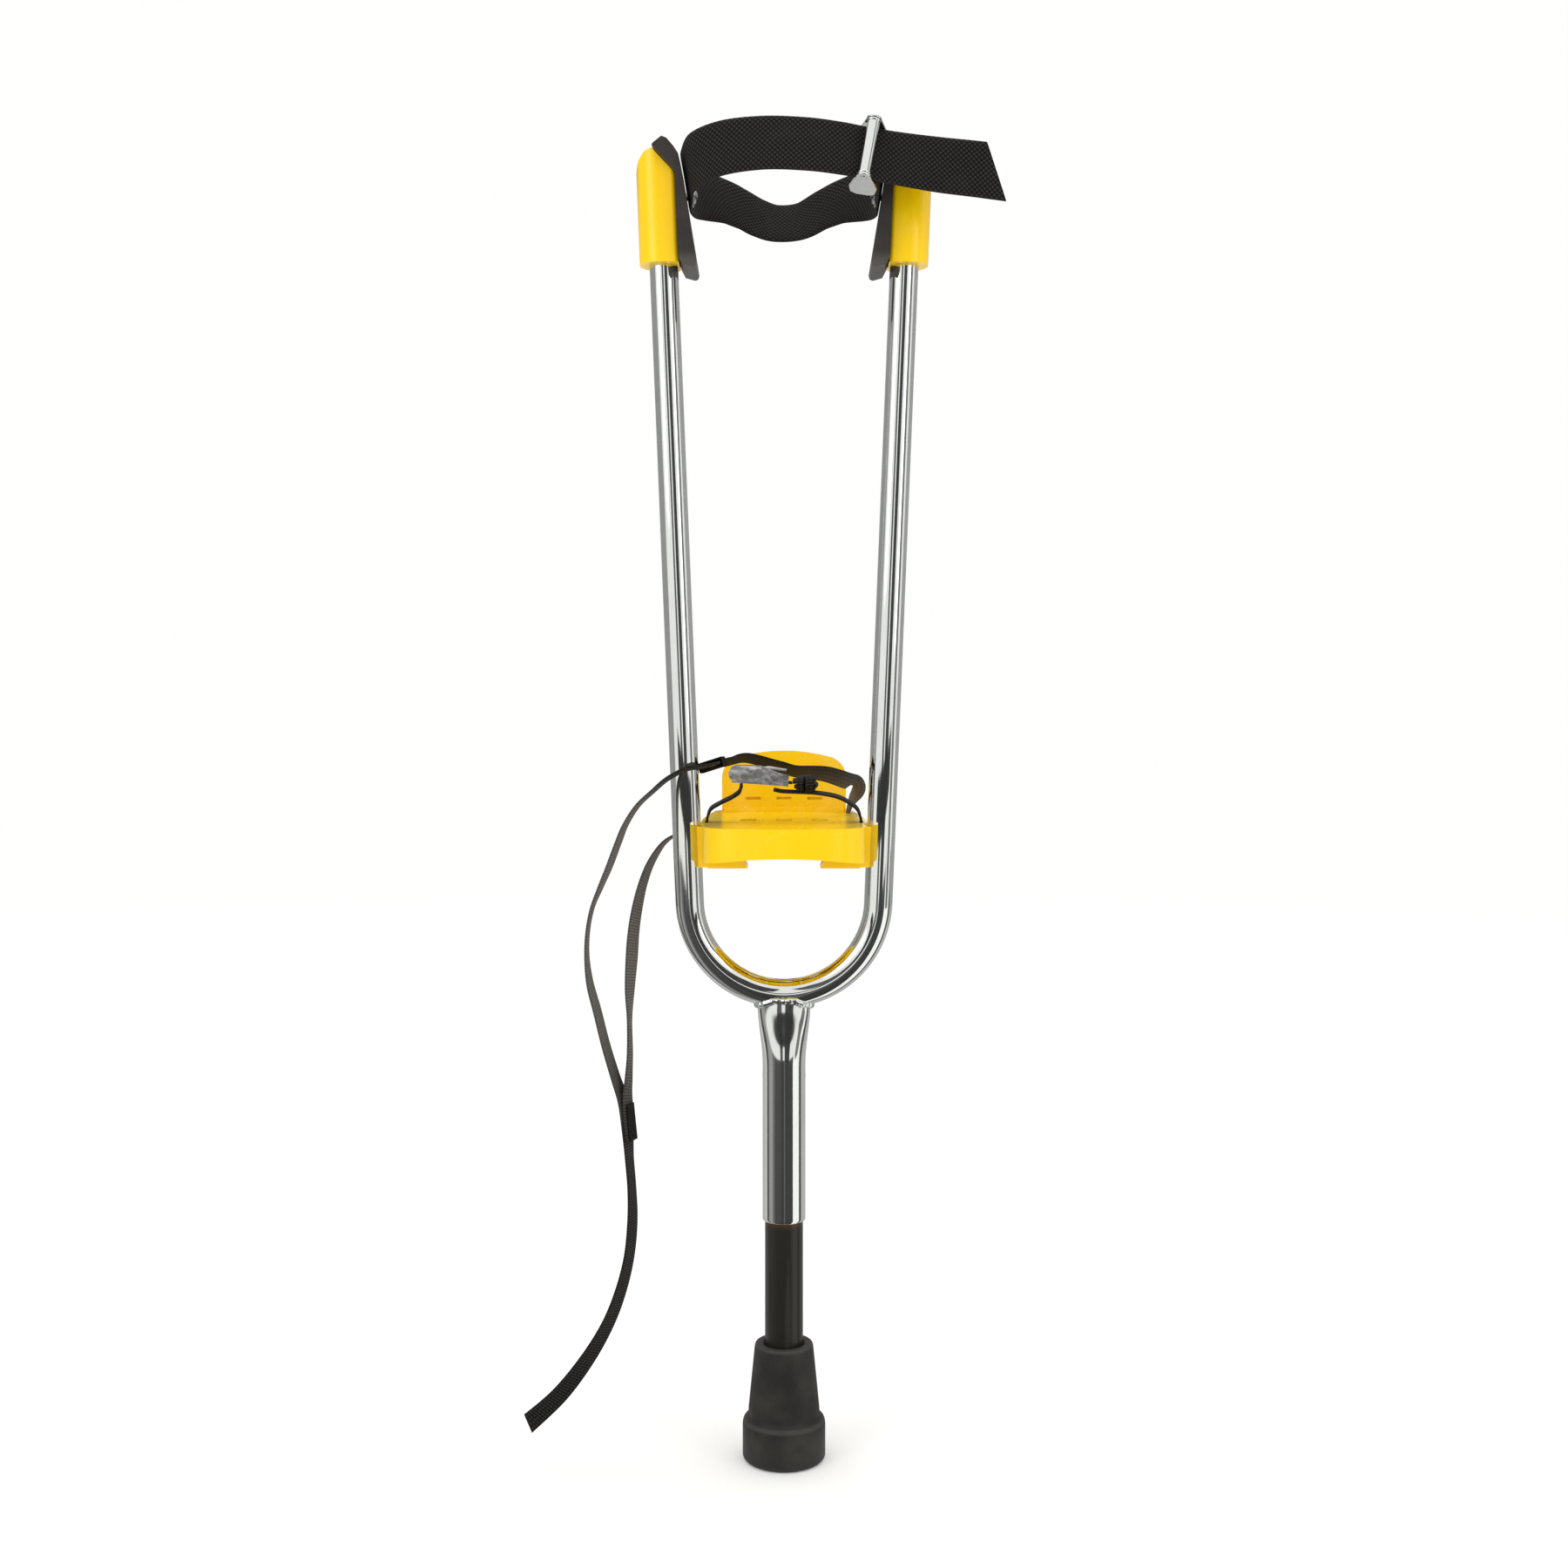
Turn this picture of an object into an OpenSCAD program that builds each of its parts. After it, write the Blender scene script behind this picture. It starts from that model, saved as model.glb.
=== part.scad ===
// Sprung jumping stilt for one leg: a bent tube frame on a spring-loaded plunger,
// with a foot platform, calf pads, a calf strap, a toe strap and an ankle strap.
// Millimetres. Z is up from the ground, X is across, the toe points to -Y.

/* [Frame] */
// Outer diameter of the bent frame tube
tube_d = 19.05; // [19:0.05:19.1]
// Wall thickness of the frame tube
tube_wall = 1.2; // [1:0.1:2]
// Centre-line radius of the bend at the bottom of the frame
bend_r = 62.8; // [62:0.1:64]
// Height of the centre of that bend above the ground
bend_z = 371.4; // [371:0.1:372]
// Outward lean of each leg of the frame, in degrees
leg_lean = 2.33; // [2:0.01:2.6]
// Height of the open top of each leg
leg_top_z = 850; // [840:1:853]

/* [Stem] */
// Outer diameter of the sleeve that the plunger slides in
sleeve_d = 28.6; // [28.4:0.1:29]
// Inner diameter of the sleeve
sleeve_bore = 26.2; // [26:0.1:26.4]
// Height of the sleeve's lower lip
sleeve_z = 158.3; // [156:0.1:160]
// Height at which the sleeve starts to widen towards the frame
flare_z = 262; // [258:1:264]
// Outer diameter of the plunger tube
plunger_d = 25.4; // [25.4:0.1:25.4]
// Height of the top of the plunger tube
plunger_top = 190; // [186:1:192]
// How far the plunger travels into the sleeve
travel = 55; // [40:1:55]

/* [Spring] */
// Thickness of the spring wire
wire_d = 3; // [2.5:0.1:3]
// Outer diameter of the spring
spring_d = 21; // [20:0.1:21]
// Number of turns of the spring
spring_turns = 11; // [9:1:12]

/* [Foot] */
// Diameter of the rubber foot on the ground
foot_d = 55; // [50:1:58]
// Height of the wide base of the foot
foot_base_h = 29.6; // [26:0.1:32]
// Height of the whole foot
foot_h = 76.6; // [72:0.1:78]

/* [Platform] */
// Height of the top of the deck
deck_z = 421; // [420:1:422]
// Thickness of the deck plate
deck_t = 3.5; // [3:0.1:4]
// Thickness of the skirt under the deck
skirt_t = 2.6; // [2:0.1:3]
// Height of the heel cup above the deck
heel_h = 44.5; // [40:0.5:48]
// Width of the heel cup
heel_w = 92; // [88:1:94]

/* [Straps] */
// Width of the calf strap
calf_w = 38; // [36:1:38]
// Width of the toe strap and of the ankle strap
band_w = 15; // [14:0.5:15]
// Thickness of the webbing
band_t = 1.6; // [1.2:0.1:1.8]

/* [Hidden] */
$fn = 64;
eps = 0.01;
tube_r = tube_d / 2;
tan_x = bend_r * cos(leg_lean);
tan_z = bend_z - bend_r * sin(leg_lean);
leg_h = (leg_top_z - tan_z) / cos(leg_lean);
lip_h = 3;
lip_r = plunger_d / 2 + 0.06;
collar_r = sleeve_bore / 2 - 0.05;
plunger_wall = 1.6;
plunger_foot = 14;
spring_z0 = 96;
spring_z1 = 200;
rod_r = 10.2;
deck_screws = [398, 410.5];
screw_seat = 27;
pad_depth = 42;
cap_depth = 30;
toe_slot = [52.4, 24.5];
ankle_slot = [47, 125];
window_x = 24.6;

yellow = [1.0, 0.80, 0.02];
chrome = [0.80, 0.81, 0.80];
steel = [0.62, 0.63, 0.64];
black_paint = [0.10, 0.10, 0.10];
rubber = [0.17, 0.16, 0.15];
webbing = [0.12, 0.11, 0.10];
pad_grey = [0.24, 0.22, 0.21];

// Calf strap: x, y, z and the turn of the band about its own line, from the buckle's
// rear bar round the leg to the tip of the tail.
calf_route = [
    [50, -38.5, 852, -14], [57, -36, 850, -10], [62, -22, 848, 2], [64.4, -8, 846, 9.5],
    [64.4, 8, 846, 9.5], [59, 27, 848, 13], [44, 44, 849.5, 18], [28, 52.5, 845, 26],
    [12, 56.5, 837.5, 34], [-5, 57, 836, 35], [-18, 55.5, 839.5, 31], [-30, 51.5, 845, 25],
    [-44, 43.5, 849, 19], [-59, 27, 848.5, 13], [-64.4, 8, 847, 9.5],
    [-64.4, -8, 850, 9.5], [-59, -29, 854, 3], [-41, -47, 857, -8], [-14, -56, 858, -14],
    [14, -57, 857, -15], [37, -54, 855, -15], [54, -50, 853, -15], [76, -45.5, 850.5, -13],
    [100, -42, 848, -9], [124, -39.5, 846, -7], [147, -38, 843.5, -6]];
// Ankle strap: from its slot in the deck, over the foot, past the left leg and down to
// the free end.
long_route = [
    [47, 125, 418.2, 4], [47, 125, 422, 4], [49, 120, 430, 13], [52.5, 109, 438.5, 34],
    [51, 100, 443.5, 50], [45, 92, 446, 56], [29, 76, 451.5, 48], [8, 56, 454.5, 34],
    [-5, 45, 458.5, 30], [-25, 33, 464, 26], [-39, 20, 462, 20], [-48, 4.5, 460.5, 17],
    [-52.4, -12.8, 460.2, 11], [-64, -18.5, 458.5, 9], [-76, -21, 452.5, 8],
    [-86, -20, 444, 7], [-96, -19, 434.5, 7], [-104, -18, 422, 8], [-109, -16, 410, 10],
    [-115, -15, 394, 10], [-121, -14, 380, 7], [-126.5, -13, 366, 3], [-129.5, -12, 350, 2],
    [-130, -11, 333, 3], [-128, -10, 316, 8], [-123.5, -8, 298, 11], [-118, -6, 275, 12],
    [-112, -4, 254, 14], [-107, -3, 238, 18], [-104, -3, 219, 21], [-102.5, -4, 199, 14],
    [-101, -4, 180, 14], [-100.5, -5, 159, 19], [-102.5, -6, 136, 22], [-108, -6, 113, 27],
    [-116.5, -7, 91, 33], [-130, -8, 68, 43], [-148, -9, 45, 54], [-169, -10, 26, 66]];
// Ankle strap: the return run, from the slot in the left skirt to the sewn joint.
short_route = [
    [-57, 44, 410, 0], [-63, 43.5, 410.4, 0], [-70, 39, 411.5, 3], [-77, 34.5, 409.5, 7],
    [-84, 30, 403.5, 11], [-91, 26, 392, 15], [-96, 22, 378, 18], [-99.5, 19, 362, 22],
    [-101.5, 16, 347, 24], [-102.5, 13, 330, 25], [-103.5, 10, 310, 18], [-103.5, 8, 290, 5],
    [-103, 5, 268, 7], [-103.5, 1.5, 252, 12], [-104, -2, 238, 18], [-102.3, -3.7, 221, 21],
    [-101.2, -4.2, 212, 21]];
// Ankle strap: the hidden run under the deck, between those two slots.
under_route = [
    [-56.8, 44, 410, 0], [-44, 46, 410, 0], [-20, 62, 410, 0], [10, 90, 410, 0],
    [30, 109, 410, 0], [40, 118.5, 410.4, 0], [45.4, 123.6, 412.4, 0], [47, 125, 415, 2],
    [47, 125, 417.4, 4]];
// Toe strap: from the left slot up into the buckle, through it and out at its right end.
toe_left_route = [
    [-52.4, 24.5, 417.2, 0], [-52.4, 24.5, 422, 0], [-50, 24, 429.5, 5], [-43.5, 22.5, 434, 5],
    [-35.5, 19.5, 438.2, 5], [-30.6, 17, 442, 5], [-28.8, 15.4, 446, 5], [-28, 15, 448.7, 0],
    [-24.5, 15, 450.2, 0], [-15, 15, 449.7, 0], [0, 15, 448.6, 0], [5.5, 15, 448.1, 0]];
// Toe strap: from the right slot across to its loose tip under the buckle.
toe_right_route = [
    [52.4, 24.5, 417.2, 0], [52.4, 24.5, 422, 0], [50, 24, 429.5, -5], [44, 22.5, 434.6, -5],
    [35, 20, 438.8, -5], [22, 17.5, 441.2, -4], [11, 16, 441.8, -3], [-1, 15, 442.4, -3],
    [-7, 15, 443.6, -3]];
// Toe strap: the sewn loop at the buckle's right end.
knot_route = [
    [6, 15, 449.2, 9], [12, 14.6, 449.8, 9], [18, 14, 449, 9], [21.6, 14, 446.9, 9],
    [19, 14.4, 444.9, 9], [12, 15, 445, 9], [7, 15.2, 445.6, 9]];
// Toe strap: the hidden run under the deck, between its two slots.
toe_under_route = [
    [-52.4, 24.5, 417, 0], [-51.8, 24.5, 410.5, 0], [-46, 24.5, 408, 0], [0, 24.5, 408, 0],
    [46, 24.5, 408, 0], [51.8, 24.5, 410.5, 0], [52.4, 24.5, 417, 0]];

// Which sub-part to build

// ---------- helpers ----------

function unit(v) = v / norm(v);
function head(p) = [p[0], p[1], p[2]];
// A point of the smooth curve through a list, at t steps along it.
function along(list, t) =
    let (n = len(list), i = min(n - 2, floor(t)), u = t - i,
         a = list[max(0, i - 1)], b = list[i], c = list[i + 1], d = list[min(n - 1, i + 2)])
    0.5 * (2 * b + (c - a) * u + (2 * a - 5 * b + 4 * c - d) * u * u
        + (3 * b - a - 3 * c + d) * u * u * u);
// Joins rings of points into one closed surface. Each ring turns left seen from ahead.
function skin(rings, m) = concat([[for (k = [0:m - 1]) k]],
    [for (i = [0:rings - 2], k = [0:m - 1]) each
        let (a = i * m + k, b = i * m + (k + 1) % m) [[a, b + m, b], [a, a + m, b + m]]],
    [[for (k = [m - 1:-1:0]) (rings - 1) * m + k]]);

// A flat band that follows a route; at turn 0 its width points along up.
module band(route, w, t, up, steps = 2) {
    n = (len(route) - 1) * steps;
    chamfer = t * 0.3;
    edge = [[-w / 2, -t / 2 + chamfer], [-w / 2 + chamfer, -t / 2], [w / 2 - chamfer, -t / 2],
        [w / 2, -t / 2 + chamfer], [w / 2, t / 2 - chamfer], [w / 2 - chamfer, t / 2],
        [-w / 2 + chamfer, t / 2], [-w / 2, t / 2 - chamfer]];
    rings = [for (i = [0:n])
        let (s = i / steps, p = along(route, s),
             go = unit(head(along(route, min(s + 0.05, n / steps)))
                 - head(along(route, max(s - 0.05, 0)))),
             rest = unit(up - (up * go) * go), side = cross(go, rest),
             wide = cos(p[3]) * rest + sin(p[3]) * side, thick = cross(go, wide))
        for (e = edge) head(p) + e[0] * wide + e[1] * thick];
    polyhedron(rings, skin(n + 1, len(edge)), convexity = 8);
}

// Places its children on the right leg of the frame, h along it from the bend.
module on_leg(h) translate([tan_x, 0, tan_z]) rotate([0, leg_lean, 0]) translate([0, 0, h])
    children();
// Places its children across the right leg at height z, pointing at the inside.
module across_leg(z) on_leg((z - tan_z) / cos(leg_lean)) rotate([0, -90, 0]) children();
module both_sides() {
    children();
    mirror([1, 0, 0]) children();
}
// A round bar along the frame's line, from leg to leg.
module frame_bar(r, extra = 0) {
    translate([0, 0, bend_z]) rotate([90, 0, 0]) rotate([0, 0, 180 + leg_lean])
        rotate_extrude(angle = 180 - 2 * leg_lean) translate([bend_r, 0]) circle(r);
    both_sides() on_leg(0) cylinder(r = r, h = leg_h + extra);
}

// ---------- frame ----------

module frame_tube() color(chrome) difference() {
    frame_bar(tube_r);
    frame_bar(tube_r - tube_wall, 1);
    both_sides() for (z = deck_screws) across_leg(z) translate([0, 0, 4]) cylinder(r = 3.5, h = 12);
}

module sleeve() color(chrome) difference() {
    translate([0, 0, sleeve_z]) cylinder(d = sleeve_d, h = flare_z - sleeve_z);
    translate([0, 0, sleeve_z - 1]) cylinder(r = lip_r, h = 10);
    translate([0, 0, sleeve_z + lip_h]) cylinder(d = sleeve_bore, h = flare_z - sleeve_z);
    translate([0, 0, rod_pin_z]) rotate([0, 90, 0]) cylinder(r = 2, h = 60, center = true);
}
// The sleeve's flared head: rings that go from a circle to a flat oval and end just under
// the bend. They run up the outside and down the inside, so the wall closes on itself.
throat_a = 17.7;
throat_b = 9.3;
function under(x, y) = let (q = sqrt(tube_r * tube_r - y * y))
    bend_z - sqrt(pow(bend_r + q, 2) - x * x) - 0.3;
function throat_ring(t, less) =
    let (s = t * t * (3 - 2 * t), r = sleeve_d / 2,
         a = r * (1 - s) + throat_a * s - less, b = r * (1 - s) + throat_b * s - less)
    [for (k = [0:47]) let (x = a * cos(k * 7.5), y = b * sin(k * 7.5))
        [x, y, flare_z + t * (under(x, min(abs(y), throat_b)) - flare_z)]];
module sleeve_head() color(chrome) {
    n = 48;
    steps = 8;
    wall = (sleeve_d - sleeve_bore) / 2;
    outside = [for (i = [0:steps]) each throat_ring(i / steps, 0)];
    inside = [for (i = [steps:-1:0]) each throat_ring(i / steps, wall)];
    faces = [for (i = [0:2 * steps + 1], k = [0:n - 1]) each
        let (j = (i + 1) % (2 * steps + 2), l = (k + 1) % n)
        [[i * n + k, j * n + l, i * n + l], [i * n + k, j * n + k, j * n + l]]];
    polyhedron(concat(outside, inside), faces, convexity = 6);
}
rod_pin_z = 254.5;

// The line of the weld, where the flared sleeve meets the underside of the bend.
function bead(a) = let (x = 17.9 * cos(a), y = 9.6 * sin(a), v = min(abs(y), 9),
    q = sqrt(tube_r * tube_r - v * v))
    [x, y, bend_z - sqrt(bend_r * bend_r - x * x) - q - 0.6];
module weld_bead() color(chrome) {
    n = 40;
    m = 8;
    points = [for (i = [0:n - 1])
        let (a = i * 360 / n, p = bead(a), go = unit(bead(a + 3) - bead(a - 3)),
             out = unit(cross(go, [0, 0, 1])), r = 2.3 + 0.35 * sin(a * 9))
        for (k = [0:m - 1]) p + r * (cos(k * 45) * out + sin(k * 45) * cross(out, go))];
    faces = [for (i = [0:n - 1], k = [0:m - 1]) each
        let (j = (i + 1) % n, l = (k + 1) % m)
        [[i * m + k, j * m + l, i * m + l], [i * m + k, j * m + k, j * m + l]]];
    polyhedron(points, faces, convexity = 6);
}

// ---------- stem ----------

module spring_rod() color(steel) difference() {
    union() {
        translate([0, 0, spring_z1]) cylinder(r = rod_r, h = 50);
        translate([0, 0, 248.5]) cylinder(d = sleeve_bore, h = 12);
    }
    translate([0, 0, spring_z1 - 1]) cylinder(r = rod_r - 3, h = 62);
    translate([0, 0, rod_pin_z]) rotate([0, 90, 0]) cylinder(r = 2, h = 60, center = true);
}
module rod_pin() color(steel) translate([0, 0, rod_pin_z]) rotate([0, 90, 0])
    cylinder(r = 2, h = sleeve_d, center = true);
// The share of the spring's height reached at share u of its turns: the end turns lie flat.
function rise(u) = let (e = 1 / spring_turns)
    u < e ? 0.03 * u / e : u > 1 - e ? 1 - 0.03 * (1 - u) / e
    : 0.03 + 0.94 * (u - e) / (1 - 2 * e);
module main_spring() color(steel) {
    per = 16;
    n = spring_turns * per;
    m = 8;
    mean = (spring_d - wire_d) / 2;
    low = spring_z0 + wire_d / 2 + 0.1;
    high = spring_z1 - wire_d / 2 - 0.1;
    points = [for (i = [0:n]) let (a = i * 360 / per, z = low + (high - low) * rise(i / n))
        for (k = [0:m - 1]) let (q = mean + wire_d / 2 * cos(k * 45))
            [q * cos(a), q * sin(a), z - wire_d / 2 * sin(k * 45)]];
    polyhedron(points, skin(n + 1, m), convexity = 20);
}
module plunger_tube() color(black_paint) difference() {
    translate([0, 0, plunger_foot]) cylinder(d = plunger_d, h = plunger_top - plunger_foot);
    translate([0, 0, plunger_foot - 1]) cylinder(r = plunger_d / 2 - plunger_wall, h = plunger_top);
    for (z = [collar_z, plug_z]) translate([0, 0, z]) rotate([0, 90, 0])
        cylinder(r = 1.5, h = 60, center = true);
}
collar_z = sleeve_z + lip_h + 3.1;
plug_z = 91;
module plunger_collar() color(steel) translate([0, 0, plunger_top - 4]) difference() {
    cylinder(r = collar_r, h = 6);
    translate([0, 0, -1]) cylinder(r = plunger_d / 2, h = 5);
    translate([0, 0, -1]) cylinder(r = plunger_d / 2 - plunger_wall, h = 8);
}
module stop_collar() color(steel) difference() {
    translate([0, 0, collar_z - 3]) cylinder(r = collar_r, h = 6);
    translate([0, 0, collar_z - 4]) cylinder(r = plunger_d / 2, h = 8);
}
module collar_pin() color(steel) for (s = [-1, 1]) translate([s * 11.9, 0, collar_z])
    rotate([0, 90, 0]) cylinder(r = 1.5, h = 1.4, center = true);
module spring_plug() color(steel) difference() {
    translate([0, 0, spring_z0 - 10]) cylinder(r = plunger_d / 2 - plunger_wall, h = 10);
    translate([0, 0, plug_z]) rotate([0, 90, 0]) cylinder(r = 1.5, h = 60, center = true);
}
module plug_pin() color(steel) translate([0, 0, plug_z]) rotate([0, 90, 0])
    cylinder(r = 1.5, h = plunger_d, center = true);
module rubber_foot() color(rubber) {
    r = foot_d / 2;
    rim = 19.2;
    rotate_extrude() difference() {
        union() {
            polygon([[0, 0], [r - 2, 0], [r, 2], [r, foot_base_h - 6], [r - 1, foot_base_h - 3],
                [r - 4, foot_base_h], [23.8, 33], [rim, foot_h - 1], [rim - 1, foot_h],
                [0, foot_h]]);
        }
        translate([0, plunger_foot]) square([plunger_d / 2, foot_h]);
        translate([0, plunger_foot - 3]) square([16, 3]);
    }
}
module foot_washer() color(steel) translate([0, 0, plunger_foot - 3]) cylinder(r = 16, h = 3);

// ---------- platform ----------

// Half of the deck's plan, from the middle of the toe edge to the middle of the heel,
// with its edge moved in by d.
function deck_half(d) = concat(
    [for (x = [0:6:18]) [x, -49 + d + 3 * x * x / 557]],
    [for (a = [-90:10:0]) [23.6 + (30 - d) * cos(a), -16 + (30 - d) * sin(a)]],
    [[53.6 - d, 10.5], [56.4 - d, 14.5], [56.4 - d, 58], [54.4 - d, 108], [51.4 - d, 138]],
    [for (a = [0:15:90]) [37.4 + (14 - d) * cos(a), 144 + (14 - d) * sin(a)]]);
module deck_plan(d) {
    half = deck_half(d);
    polygon(concat([for (p = half) p],
        [for (i = [len(half) - 1:-1:1]) [-half[i][0], half[i][1]]]));
}
module deck_shell() difference() {
    translate([0, 0, deck_z - 26]) linear_extrude(26) deck_plan(0);
    translate([0, 0, deck_z - 27]) linear_extrude(27 - deck_t) deck_plan(skirt_t);
    // The lower edge is an arch, lowest at the sides.
    translate([0, 0, deck_z - 19 - 290]) rotate([90, 0, 0])
        cylinder(r = 290, h = 500, center = true, $fn = 128);
}
module deck_boss() difference() {
    union() {
        rotate([90, 0, 0]) translate([0, 0, -14]) linear_extrude(28)
            polygon([[24.1, 393], [50.2, 393], [53, 398], [53, deck_z - 1], [32, deck_z - 1],
                [27.2, 400]]);
        translate([50, -6.5, 393]) cube([8.5, 13, deck_z - 394]);
    }
    on_leg(0) cylinder(r = tube_r, h = leg_h);
}
module deck() color(yellow) difference() {
    union() {
        deck_shell();
        both_sides() deck_boss();
        // Stiffening ribs under the plate.
        for (y = [62, 96]) translate([-52, y - 1, deck_z - 7.5]) cube([104, 2, 5]);
        for (x = [-11.2, 11.2]) translate([x - 1, -46, deck_z - 7.5]) cube([2, 196, 5]);
    }
    for (i = [-1:1]) translate([i * window_x - 5.4, 33, deck_z - 6]) cube([10.8, 22, 12]);
    both_sides() translate([toe_slot[0] - 1.4, toe_slot[1] - 8.2, deck_z - 6]) cube([2.8, 16.4, 12]);
    translate([ankle_slot[0] - 1.5, ankle_slot[1] - 8.2, deck_z - 9]) cube([3, 16.4, 12]);
    translate([-60, 44 - 8.2, 410 - 1.5]) cube([12, 16.4, 3]);
    both_sides() {
        for (x = [16, 36]) translate([x, heel_foot_y(x), deck_z - 6]) cylinder(r = 2, h = 12);
        for (z = deck_screws) across_leg(z) {
            cylinder(r = 2.6, h = 36);
            translate([0, 0, screw_seat]) cylinder(r = 5.2, h = 16);
        }
    }
}
heel_r = 85;
heel_back = 159;
function heel_foot_y(x) = heel_back - heel_r + sqrt((heel_r - 12) * (heel_r - 12) - x * x);
module heel_arc(r0, r1, half) intersection() {
    translate([0, heel_back - heel_r]) difference() {
        circle(r1, $fn = 128);
        circle(r0, $fn = 128);
    }
    translate([-half, heel_back - heel_r]) square([2 * half, heel_r + 2]);
}
module heel_cup() color(yellow) difference() {
    union() {
        intersection() {
            translate([0, 0, deck_z]) linear_extrude(heel_h) heel_arc(heel_r - 4, heel_r, heel_w / 2);
            translate([0, 200, deck_z]) rotate([90, 0, 0]) linear_extrude(200) polygon(concat(
                [[-heel_w / 2, -1], [heel_w / 2, -1]],
                [for (a = [0:10:80]) [heel_w / 2 - 15 + 15 * cos(a), heel_h - 19 + 15 * sin(a)]],
                [for (x = [28:-4:-28]) [x, heel_h - 4.2 * x * x / 1129]],
                [for (a = [100:10:180]) [15 - heel_w / 2 + 15 * cos(a), heel_h - 19 + 15 * sin(a)]]));
        }
        translate([0, 0, deck_z]) linear_extrude(3.2) heel_arc(heel_r - 19, heel_r - 2, heel_w / 2 - 2);
    }
    // Three shallow slots across the inner face.
    intersection() {
        for (x = [-23, 0, 23]) translate([x - 5.5, 120, deck_z + 8]) cube([11, 50, 2]);
        translate([0, heel_back - heel_r, deck_z]) cylinder(r = heel_r - 1.6, h = 20, $fn = 128);
    }
    both_sides() for (x = [16, 36]) translate([x, heel_foot_y(x), deck_z - 1])
        cylinder(r = 1.9, h = 12);
}
module heel_screws() color(steel) both_sides() for (x = [16, 36])
    translate([x, heel_foot_y(x), 0]) {
        translate([0, 0, deck_z - deck_t - 2]) cylinder(r = 3.6, h = 2);
        translate([0, 0, deck_z - deck_t - eps]) cylinder(r = 1.9, h = deck_t + 3);
    }
module deck_screws() color(steel) both_sides() for (z = deck_screws) across_leg(z) {
    translate([0, 0, 3.5]) cylinder(r = 2.5, h = screw_seat - 2.5 + eps);
    translate([0, 0, screw_seat + 1]) difference() {
        cylinder(r = 4.7, h = 3);
        translate([0, 0, 1.2]) cylinder(r = 1.7, h = 3, $fn = 6);
    }
}
module deck_washers() color(steel) both_sides() for (z = deck_screws) across_leg(z)
    translate([0, 0, screw_seat]) difference() {
        cylinder(r = 5, h = 1);
        translate([0, 0, -1]) cylinder(r = 2.5, h = 3);
    }
module frame_inserts() color(steel) both_sides() for (z = deck_screws) across_leg(z)
    translate([0, 0, 1]) difference() {
        intersection() {
            cylinder(r = 3.5, h = 8.4);
            translate([0, 0, -1]) rotate([0, 90, 0]) cylinder(r = tube_r - 0.1, h = 20, center = true);
        }
        translate([0, 0, -1]) cylinder(r = 2.5, h = 12);
    }

// ---------- calf cuff ----------

cap_z = 792.5;
rivet_z = 838;
// The right cap; its inner face is flat and its outer side is round.
module cap() difference() {
    intersection() {
        on_leg(0) translate([0, 0, 380]) linear_extrude(140) union() {
            intersection() {
                translate([0.9, 0]) circle(15);
                translate([0, -16]) square([20, 32]);
            }
            translate([-7.6, -15]) square([8.5, 30]);
            translate([-10.6, -12]) square([10, 24]);
            for (s = [-1, 1]) translate([-7.6, s * 12]) circle(3);
        }
        translate([0, 40, 0]) rotate([90, 0, 0]) linear_extrude(80) union() {
            polygon([[60, cap_z], [100, cap_z], [100, 853], [98.5, 853], [96.5, 860.5],
                [92.5, 865.5], [87.5, 867.6], [72.2, 851], [60, 851]]);
        }
    }
    on_leg(-eps) cylinder(r = tube_r, h = leg_h + 2 * eps);
    across_leg(rivet_z) cylinder(r = 2.5, h = 40);
    across_leg(rivet_z) translate([0, 0, -4]) cylinder(r = 2.5, h = 20);
}
module cap_right() color(yellow) cap();
module cap_left() color(yellow) mirror([1, 0, 0]) cap();
// The right pad: a bent rubber block on the cap's inner face and over its shoulder.
module pad() difference() {
    translate([0, pad_depth / 2, 0]) rotate([90, 0, 0]) linear_extrude(pad_depth)
        polygon([[pad_in(791), 791], [pad_in(855), 855], [69.4, 862], [72.4, 866.6],
            [77, 872], [80.4, 873.4], [85.6, 869.2], [86.9, 867.8], [72.2, 851.3],
            [cap_face(851.2), 851.2], [cap_face(795), 795], [66.5, 789.4], [60, 787.6], [58, 788.4]]);
    across_leg(rivet_z) cylinder(r = 2.5, h = 40);
}
function pad_in(z) = 57.2 + (z - 791) * 0.164;
function cap_face(z) = tan_x + (z - tan_z) * tan(leg_lean) - 10.6 / cos(leg_lean) - 0.02;
module pad_right() color(pad_grey) pad();
module pad_left() color(pad_grey) mirror([1, 0, 0]) pad();
// One rivet each side holds the pad to the cap, inside the calf strap's loop.
module pad_rivets() color(steel) both_sides() across_leg(rivet_z) {
    translate([0, 0, 9.6]) cylinder(r = 2.5, h = rivet_reach - 9.6 + eps);
    translate([0, 0, rivet_reach]) intersection() {
        translate([0, 0, -3.5]) sphere(r = 6.5);
        cylinder(r = 5.4, h = 4);
    }
}
rivet_reach = 21.6;
module rivet_washers() color(steel) both_sides() across_leg(rivet_z)
    translate([0, 0, rivet_reach - 1]) difference() {
        cylinder(r = 7, h = 1);
        translate([0, 0, -1]) cylinder(r = 2.5, h = 3);
    }

module calf_strap() color(webbing) difference() {
    band(calf_route, calf_w, band_t + 0.2, [0, 0, 1], 3);
    // Holes for the two rivets.
    both_sides() across_leg(rivet_z) translate([0, 0, 14]) cylinder(r = 2.6, h = 12);
    // The slanted cut at the tip of the tail.
    rotate([90, 0, 0]) linear_extrude(80) polygon([[126, 869], [147, 823], [180, 823], [180, 869]]);
}
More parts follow.
